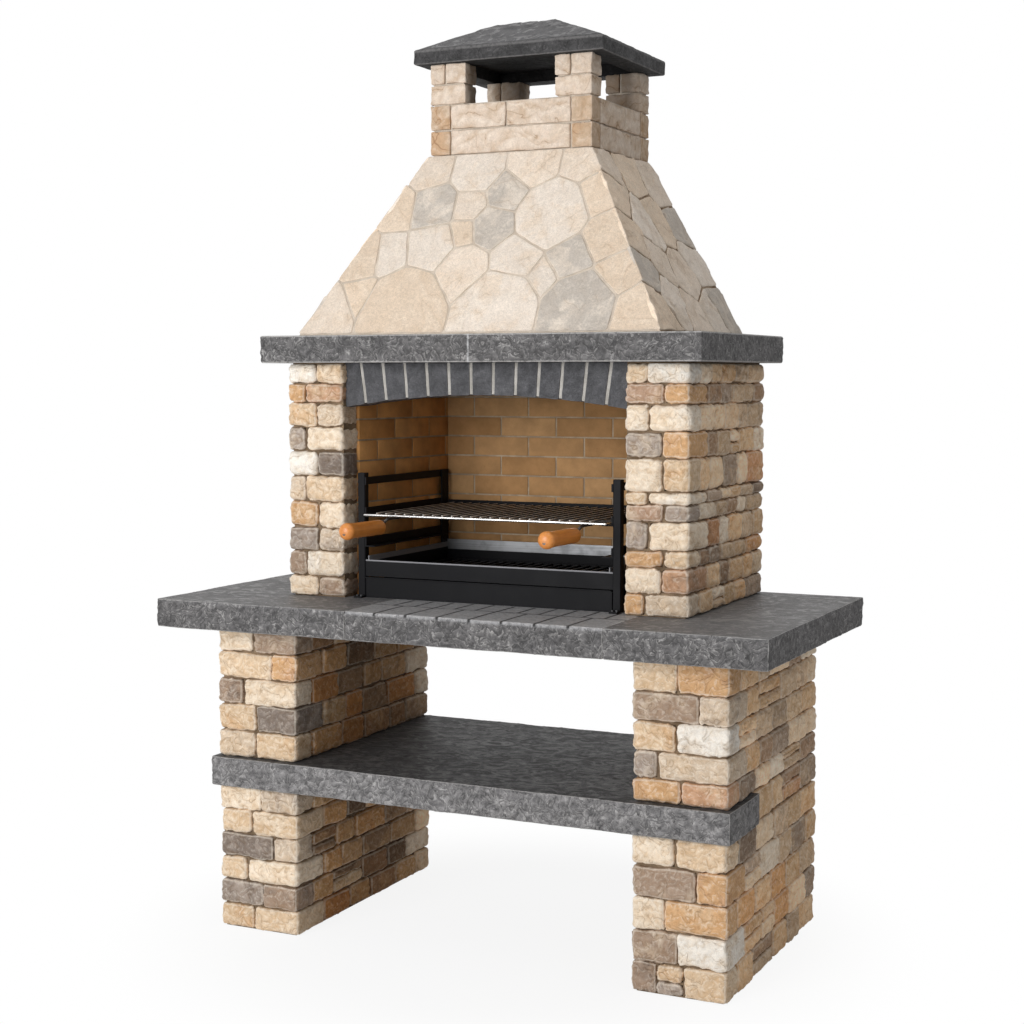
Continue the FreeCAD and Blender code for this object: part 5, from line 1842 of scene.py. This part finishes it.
            # Painted light: the sides' flags are made lighter.
            light *= 1.0 if name == "front" else self.side_painted_light
            tone = np.array([linear(pick) for pick in picks]) * light
            accent = np.array([linear(self.accents[flag in grey]) for flag in range(len(parts))])
            shift = rng.uniform(-40, 40, (len(parts), 3))
            attributes = {
                "edge": np.concatenate([part[1] for part in parts]),
                "relief": np.concatenate([part[2] for part in parts]),
                "grain": points + np.repeat(shift, per_flag, axis=0),
                "tone": np.repeat(tone, per_flag, axis=0),
                "accent": np.repeat(accent, per_flag, axis=0),
            }
            piece = make_piece(f"hood_{name}_flagstones", points, faces, attributes, 60)
            fit_piece(piece, material, "masonry", "flagstone", node)

    def build(self, flag: Material, pointing: Material, shaded: Material, render: Material) -> None:
        """Builds the hood.

        Args:
            flag: Finish of the flagstones.
            pointing: Finish of the pointing between the front's flags.
            shaded: Finish of the sides' pointing, darker as painted shade.
            render: Finish of the plain back.
        """
        self.walls(pointing, shaded)
        self.flags(flag)
        dress_nodes(render, "hood_back_wall", "back_panel")


@dataclass
class Stack:
    """The chimney stack: two courses with quoins, and four posts.

    quoin is the longest side of a quoin in plan, shade the tint beside the tones of the coursed stones, and
    soot_and_shade_reach the ways in from the outer faces at which the inner faces' soot and painted shade
    start and are full.
    """

    grid: BlockGrid = field(default_factory=lambda: BlockGrid((18, 12, 9)))
    cut: StoneCut = BLOCK_CUT
    quoin: float = 0.062
    shade: Array = field(default_factory=lambda: np.array([0.80, 0.80, 0.85, 1.0]))
    soot_and_shade_strength: float = 0.55
    soot_and_shade_reach: tuple[float, float] = (12 * MM, 40 * MM)
    seed: int = 171

    def soot(self, points: Array) -> Array:
        """Soot and painted shade of the points: by a smooth step with their way in from the stack's outer
        faces.

        Args:
            points: Places on the blocks.

        Returns:
            One value to a point.
        """
        low, high = points.min(axis=0), points.max(axis=0)
        inwards = np.minimum(points - low, high - points)[:, :2].min(axis=1)
        return self.soot_and_shade_strength * ease_between(inwards, *self.soot_and_shade_reach)

    def build(self, stone: Material, mortar: Material) -> None:
        """Lays the blocks and dresses the mortar.

        Args:
            stone: Finish of the blocks.
            mortar: Finish of the mortar.
        """
        for number, node in enumerate(("stack_lower_course", "stack_upper_course", "stack_posts")):
            low, high = Solids.of(node).boxes()
            worked = work_blocks(box_corners(low, high), self.grid, self.cut, self.seed + number)
            rng = np.random.default_rng(self.seed + 10 + number)
            plan = (high - low)[:, :2].max(axis=1)
            corner = (plan < self.quoin) & (node != "stack_posts")
            tones = [Tone.TAN if is_quoin else Tone.CREAM for is_quoin in corner]
            accents = [Tone.ORANGE if is_quoin else Tone.TAN for is_quoin in corner]
            tone, accent = (tone_rows(picks, rng) * self.shade for picks in (tones, accents))
            # Soot and painted shade on the faces inside the stack.
            attributes = {**worked.toned(tone, accent), "soot": self.soot(worked.points)}
            piece = make_piece(f"{node}_hewn", worked.points, worked.faces, attributes)
            fit_piece(piece, stone, "masonry", "stack_stone", node)
        dress_nodes(mortar, "stack_mortar")


@dataclass
class Cap:
    """The hipped cap with a flat top, hollow underneath.

    top is the width and depth of the flat top, rim the width round the hollow and recess its depth. per_side
    is the points along each side of a ring; slopes and hollow_rings count the rings. under holds the rings at
    which the underside's darkening is gone and is full: soot in the hollow and painted shade under the rim.
    eaves holds those between which the edge gives way to the slope, and edge_darkening how dark the edge is.
    """

    edge_height: float = 0.040
    top: tuple[float, float] = (0.174, 0.208)
    rim: float = 0.065
    recess: float = 0.030
    rounding: float = 5.0 * MM
    per_side: int = 36
    slopes: int = 22
    hollow_rings: int = 4
    under: tuple[float, float] = (6.5, 3.5)
    eaves: tuple[float, float] = (12.5, 14.5)
    edge_darkening: float = 0.50
    ripple: float = 1.4 * MM
    hewn: float = 1.6 * MM
    seed: int = 191

    def rings(self, low: Array, high: Array) -> tuple[Array, Array]:
        """Half widths, half depths and levels of the rings, from the hollow's roof to the flat top.

        Args:
            low: Lowest corner of the cap.
            high: Highest corner of the cap.

        Returns:
            A row to each ring, and its nearness to an arris.
        """
        half = (high - low)[:2] / 2
        inner = half - self.rim
        roof = low[2] + self.recess
        eaves = low[2] + self.edge_height
        top = np.array(self.top) / 2
        ease = self.rounding
        turn = np.linspace(0, math.pi / 2, 4)
        rows = [(*(inner * share), roof, 0) for share in (0.05, 0.6, 1.0)]
        rows.append((*inner, low[2], 0.4))
        for angle in turn:
            out = half - ease * (1 - math.sin(angle))
            rows.append((*out, low[2] + ease * (1 - math.cos(angle)), math.sin(2 * angle)))
        for share in (0.25, 0.5, 0.75):
            rows.append((*half, low[2] + ease + share * (eaves - low[2] - 2 * ease), 0))
        for angle in turn[:-1]:
            out = half - ease * (1 - math.cos(angle))
            rows.append((*out, eaves - ease * (1 - math.sin(angle)), math.cos(angle)))
        for share in np.linspace(0.04, 1, self.slopes):
            out = half - ease + (top - half + ease) * share
            arris = 0.35 if share > 0.97 else 0.0
            rows.append((*out, eaves + (high[2] - eaves) * share, arris))
        for share in (0.66, 0.33, 0.04):
            rows.append((*(top * share), high[2], 0))
        table = np.array(rows)
        return table[:, :3], table[:, 3]

    def build(self, material: Material) -> None:
        """Casts the cap: rectangles of changing size and level, skinned from the hollow to the top.

        Args:
            material: Finish of the cap.
        """
        low, high = node_box("chimney_cap")
        rings, edge = self.rings(low, high)
        step = np.linspace(-1, 1, self.per_side, endpoint=False)
        ones = np.ones_like(step)
        square = np.concatenate([
            np.stack([step, -ones], -1), np.stack([ones, step], -1),
            np.stack([-step, ones], -1), np.stack([-ones, -step], -1),
        ])
        centre = (low + high) / 2
        plan = centre[:2] + rings[:, None, :2] * square
        level = np.broadcast_to(rings[:, None, 2:], (*plan.shape[:2], 1))
        points = np.concatenate([plan, level], axis=-1).reshape(-1, 3)
        faces = faced_outwards(points, skin_faces(len(rings), len(square)))
        rough = self.ripple * fractal_noise(points, 0.03, self.seed)
        rough += self.hewn * facet_noise(points, 0.026, self.seed + 2)
        ring = np.arange(len(rings))
        inside = np.repeat(ring < self.hollow_rings, len(square))
        rough = np.where(inside, 0.2 * rough, rough)
        outwards = unit(points - np.array([centre[0], centre[1], low[2]]))
        points = points + rough[:, None] * outwards
        sloping = ease_between(ring, *self.eaves)
        # Soot in the hollow, painted shade under the rim, and a darkening along the upright edge.
        soot = np.maximum(ease_between(ring, *self.under), self.edge_darkening * (1 - sloping))
        attributes = {
            "edge": np.repeat(edge, len(square)),
            "relief": np.clip(rough / (1.8 * MM), -1, 1),
            "soot": np.repeat(soot, len(square)),
            "level": np.repeat(sloping, len(square)),
        }
        piece = make_piece("chimney_cap_cast", points, faces, attributes, 35)
        fit_piece(piece, material, "masonry", "cap_concrete", "chimney_cap")


@dataclass
class CookingGrill:
    """The cooking grill: wires on cross rods, drawn by two rods with turned grips.

    crimp is the height of the wires' waves and neck a shank's radius as a share of its knob's. browning holds
    the ways behind the front at which it starts and is full, and painted_highlight_band the heights over a
    wire's middle, in radii, at which it is bright and at which it is brown: a painted highlight on its top.
    """

    crimp: float = 0.15 * MM
    rod_sides: int = 14
    grip_sides: int = 40
    neck: float = 0.89
    browning: tuple[float, float] = (12 * MM, 45 * MM)
    painted_highlight_band: tuple[float, float] = (0.85, 0.45)

    def rods(self, node: str, axis: int, name: str, material: Material, stations: int,
             heat: float) -> None:
        """Round bars in the places of CAD cylinders along one axis, with eased ends.

        A bar along Y waves up and down a little, as a crimped wire does, with its ends at rest. The
        fire browns the bars by a smooth step from the front one backwards, but for a line along the
        top of the wires, which stays bright as a painted highlight.

        Args:
            node: CAD node of the bars.
            axis: Axis that they run along.
            name: Name of the piece.
            material: Finish.
            stations: Profiles along each bar.
            heat: How brown the bars are behind the front.
        """
        low, high = Solids.of(node).boxes()
        middle = (low + high) / 2
        radius = ((high - low)[:, 2] / 2)[:, None]
        share = np.concatenate([[0.0, 0.002], np.linspace(0.006, 0.994, stations), [0.998, 1.0]])
        paths = np.repeat(middle[:, None], len(share), axis=1)
        paths[..., axis] = low[:, axis, None] + (high - low)[:, axis, None] * share
        if axis == 1:
            wave = np.sin(share * math.pi * 20) * ease_between(share * (1 - share), 0, 0.04)
            paths[..., 2] += self.crimp * wave
        taper = np.ones(len(share))
        taper[[0, -1]], taper[[1, -2]] = 0.55, 0.85
        across = (1.0, 0.0, 0.0) if axis == 1 else (0.0, 1.0, 0.0)
        points, faces = tubes(paths, radius * taper, across, self.rod_sides)
        behind = points[:, 1] - points[:, 1].min()
        burnt = heat * ease_between(behind, *self.browning)
        # Painted highlight: a bright line left along the top of each wire.
        if axis == 1:
            above = (points[:, 2] - middle[0, 2]) / radius[0]
            burnt = burnt * ease_between(above, *self.painted_highlight_band)
        piece = make_piece(name, points, faced_outwards(points, faces), {"browning": burnt}, 60)
        fit_piece(piece, material, "cooking_grill", "grill_chrome", node)

    def grips(self, material: Material) -> None:
        """Turned grips: a shank that swells to a knob by a bell curve, with ends eased off by ellipses.

        Args:
            material: Finish of the wood.
        """
        runs = ((0, 0.05, 8), (0.08, 0.90, 26), (0.915, 1, 14))
        share = np.concatenate([np.linspace(*run) for run in runs])
        body = self.neck + (1 - self.neck) * np.exp(-(((share - 0.91) / 0.09) ** 2))
        rear = np.sqrt(1 - (1 - np.clip(share / 0.045, 0, 1)) ** 2)
        head = np.sqrt(1 - (1 - np.clip((1 - share) / 0.085, 0, 1)) ** 2)
        outline = body * (0.60 + 0.40 * rear) * (0.25 + 0.75 * head)
        ends, radius = [], []
        for points in Solids.of("wooden_grips").each():
            back, front = points[:, 1].max(), points[:, 1].min()
            ends.append([points[np.abs(points[:, 1] - y) < 1.2 * MM].mean(axis=0) for y in (back, front)])
            radius.append(np.ptp(points[:, 0]) / 2 * outline)
        ends = np.array(ends)
        paths = ends[:, :1] + (ends[:, 1:] - ends[:, :1]) * share[None, :, None]
        points, faces = tubes(paths, np.array(radius), (1.0, 0.0, 0.0), self.grip_sides)
        piece = make_piece("turned_grips", points, faced_outwards(points, faces), crease=70)
        fit_piece(piece, material, "cooking_grill", "grip_wood", "wooden_grips")

    def build(self, chrome: Material, wire: Material, handle: Material,
              wood: Material, black: Material) -> None:
        """Builds the grill.

        Args:
            chrome: Finish of the cross rods.
            wire: Finish of the wires.
            handle: Finish of the handle rods.
            wood: Finish of the grips.
            black: Finish of the ferrules.
        """
        self.rods("grill_cross_rods", 0, "grill_rods", chrome, 24, 0.95)
        self.rods("grill_wires", 1, "grill_crimped_wires", wire, 60, 0.97)
        self.grips(wood)
        dress_nodes(handle, "handle_rods")
        dress_nodes(black, "handle_ferrules")


@dataclass(frozen=True)
class Lamp:
    """A square lamp that hangs at one place and points at another, with its power in watts."""

    name: str
    place: Triple
    target: Triple
    size: float
    power: float

    def hang(self) -> None:
        """Hangs the lamp, turned from straight down to its target."""
        data = bpy.data.lights.new(self.name, "AREA")
        data.shape = "SQUARE"
        data.size = self.size
        data.energy = self.power
        lamp = bpy.data.objects.new(self.name, data)
        lamp.location = self.place
        way = np.array(self.target) - np.array(self.place)
        flat = math.hypot(way[0], way[1])
        lamp.rotation_euler = (math.atan2(flat, -way[2]), 0, math.atan2(way[1], way[0]) - math.pi / 2)
        bpy.context.scene.collection.objects.link(lamp)


@dataclass
class Studio:
    """White studio: floor, sky, lamps and the camera.

    Angles are in degrees, lens and frame_width in millimetres. shadow holds the ways from the middle at which
    the floor's shadow starts to fade and is gone, and glow the share of plain white where it is full.
    """

    eye: Triple = (2.023, -4.211, 1.490)
    yaw: float = 25.62
    pitch: float = 4.41
    lens: float = 61.9
    frame_width: float = 36.0
    ambient: float = 0.34
    floor_size: float = 30.0
    floor_white: float = 0.86
    shadow: tuple[float, float] = (0.55, 1.15)
    glow: float = 0.88
    lamps: tuple[Lamp, ...] = (
        Lamp("key", (-1.4, -5.7, 2.1), (0.0, 0.0, 1.2), 2.8, 236.0),
        Lamp("overhead", (0.9, -0.9, 5.0), (0.0, 0.0, 1.5), 2.6, 26.0),
    )

    def camera(self) -> None:
        """Sets the camera up."""
        data = bpy.data.cameras.new("camera")
        data.lens = self.lens
        data.sensor_width = self.frame_width
        camera = bpy.data.objects.new("camera", data)
        camera.location = self.eye
        camera.rotation_euler = (math.radians(90 - self.pitch), 0, math.radians(self.yaw))
        bpy.context.scene.collection.objects.link(camera)
        bpy.context.scene.camera = camera

    def sky(self) -> None:
        """White to the eye and in reflections, softer as a light."""
        world = bpy.data.worlds.new("studio")
        bpy.context.scene.world = world
        world.use_nodes = True
        tree = Tree(world.node_tree)
        background = tree.nodes["Background"]
        background.inputs["Color"].default_value = (1, 1, 1, 1)
        level = tree.put("ShaderNodeMapRange", {"Value": tree.seen_rays(), "To Min": self.ambient})
        tree.feed(background.inputs["Strength"], level)

    def floor(self) -> None:
        """White floor that keeps the shadow near the barbecue and fades to white around it."""
        half = self.floor_size / 2
        points = np.array([(-half, -half, 0), (half, -half, 0), (half, half, 0), (-half, half, 0)], float)
        floor = make_piece("floor", points, [[0, 1, 2, 3]])
        material = bpy.data.materials.new("white_floor")
        material.use_nodes = True
        tree = Tree(material.node_tree)
        tree.nodes.clear()
        white = self.floor_white
        diffuse = tree.put("ShaderNodeBsdfDiffuse", {"Color": (white, white, white, 1)})
        glow = tree.put("ShaderNodeEmission", {"Strength": 1.0})
        away = tree.put("ShaderNodeVectorMath", {0: tree.place()}, "Value", operation="LENGTH")
        share = tree.times(tree.seen_rays(), tree.fade(away, *self.shadow, self.glow, 1.0))
        mixed = tree.put("ShaderNodeMixShader", {0: share, 1: diffuse, 2: glow})
        output = tree.nodes.new("ShaderNodeOutputMaterial")
        tree.feed(output.inputs["Surface"], mixed)
        floor.data.materials.append(material)

    def build(self) -> None:
        """Sets the studio up."""
        self.camera()
        self.sky()
        self.floor()
        for lamp in self.lamps:
            lamp.hang()
        bpy.context.scene.view_settings.view_transform = "Standard"


def main() -> None:
    """Builds the barbecue's looks, sub-assembly by sub-assembly."""
    logging.basicConfig(level=logging.INFO, format="%(name)s: %(message)s")
    stone = FieldStone("tumbled_stone").material()
    piers = (
        StonePier("left_leg_upper_stones", "cb to bc td et", "leg_stone", 301),
        StonePier("left_leg_lower_stones", "ce tt de tc gb tt", "leg_stone", 302),
        StonePier("right_leg_upper_stones", "to be tw ge or", "leg_stone", 303),
        StonePier("right_leg_lower_stones", "ct bo co bw tbtg", "leg_stone", 304),
        StonePier("left_pillar_stones", "wt or te gc wd et oc ge bc cb", "pillar_stone", 305),
        StonePier("right_pillar_stones", "tw mo cc go ct tc mg gc ot cr oe", "pillar_stone", 306),
    )
    mortar = Mortar("bed_mortar", (146, 126, 103), (108, 90, 71)).material()
    for pier in piers:
        pier.build(stone)
    dress_nodes(mortar, "left_leg_core", "right_leg_core", "left_pillar_core", "right_pillar_core")
    cast = CastStone("dark_cast_stone").material()
    side_rows = {"hearth_end": 0.640, "groove": 3.5 * MM, "depth": 1.0 * MM, "dust": 0.06, "joint_darkening": 0.60}
    worktop = (
        PavedSlab("worktop_left", (90, 104, 14), 401, front_paver=0.19, hearth_paver=0.29, **side_rows),
        PavedSlab("worktop_centre", (116, 90, 14), 402),
        PavedSlab("worktop_right", (66, 110, 14), 403, front_paver=0.13, hearth_paver=0.20, **side_rows),
    )
    for slab in worktop:
        slab.build(cast)
    ShelfSlab("shelf_slab", (210, 80, 14), 404).build(CastStone(
        "shelf_cast_stone", (96, 95, 96), (150, 148, 148), top_shade=0.24, glint=0.20, specular=0.16,
    ).material())
    Mantel().build(cast)
    Cap().build(CastStone(
        "cap_cast_stone", (62, 61, 62), (100, 99, 100), (146, 144, 144), lip=0.35, foot=0.2, top_shade=0.98,
        glint=0.42,
    ).material())
    Arch().build(
        CastStone(
            "charcoal_arch", (68, 68, 71), (92, 92, 95), (126, 126, 128), ledge_scale=60.0, lip=0.22,
            foot=0.08, depth=0.0014,
        ).material(),
        Mortar("arch_pointing", (196, 192, 186), (170, 166, 159)).material(),
    )
    Lining().build(
        FireBrick("ochre_firebrick").material(),
        Mortar("fire_cement", (190, 172, 148), (160, 142, 120)).material(),
    )
    flag = FieldStone(
        "riven_flagstone", patch_scale=14.0, ledge_scale=7.0, ledge_count=5.0, ledge_rise=7.0, lip=0.14,
        foot=0.10, mottle_scale=130.0, mottle_depth=0.08, grit_scale=330.0, grit_depth=0.11, hollow=0.26,
        crest=1.03, worn=0.25, depth=0.0014,
    )
    Hood().build(
        flag.material(),
        Mortar("pale_pointing", (219, 206, 191), (198, 184, 168)).material(),
        # Painted shade: the sides' pointing is darker than the front's.
        Mortar("side_pointing_painted_shade", (178, 158, 136), (128, 104, 80)).material(),
        Mortar("floated_render", (196, 188, 176), (170, 162, 150)).material(),
    )
    block = FieldStone(
        "riven_block", ledge_scale=9.0, ledge_count=5.0, ledge_rise=22.0, lip=0.22, foot=0.22,
        stain=0.60, mottle_depth=0.07, grit_scale=330.0, hollow=0.50, crest=1.04, worn=0.3, depth=0.0020,
    )
    pointing = Mortar("stack_pointing", (214, 202, 187), (190, 178, 163))
    Stack().build(block.material(), pointing.material())
    black = PaintedSteel("satin_black_steel").material()
    dress_nodes(
        black, "left_front_post", "right_front_post", "rear_posts", "top_rails", "upper_runners",
        "lower_runners", "rear_crossbar", "post_caps", "post_feet", "ash_drawer_tray", "ash_drawer_front",
        "charcoal_grate_frame", "charcoal_grate_rods",
    )
    tray = Solids.of("fire_tray").points
    aside = np.abs(tray[:, 0])
    lip = float(tray[aside > aside.max() - 1 * MM, 2].max())
    dress_nodes(PaintedSteel("black_steel_rubbed_highlight", lip=lip).material(), "fire_tray")
    blacked = BareSteel("blacked_bolts", (74, 74, 76), (48, 47, 46), (0.40, 0.55)).material()
    dress_nodes(blacked, "anchor_bolts")
    guard = BareSteel("brushed_guard", (136, 137, 139), (118, 119, 121), (0.42, 0.52)).material()
    dress_nodes(guard, "rear_guard")
    CookingGrill().build(
        BareSteel("fired_chrome", (226, 226, 226), (190, 182, 170), (0.16, 0.34)).material(),
        BareSteel("fired_wire", (232, 226, 218), (196, 186, 172), (0.30, 0.45), metal=0.40).material(),
        BareSteel("handle_steel_bare", (140, 140, 140), (84, 80, 76), (0.30, 0.45)).material(),
        TurnedWood("turned_grip").material(),
        black,
    )
    Studio().build()


if __name__ == "__main__":
    main()
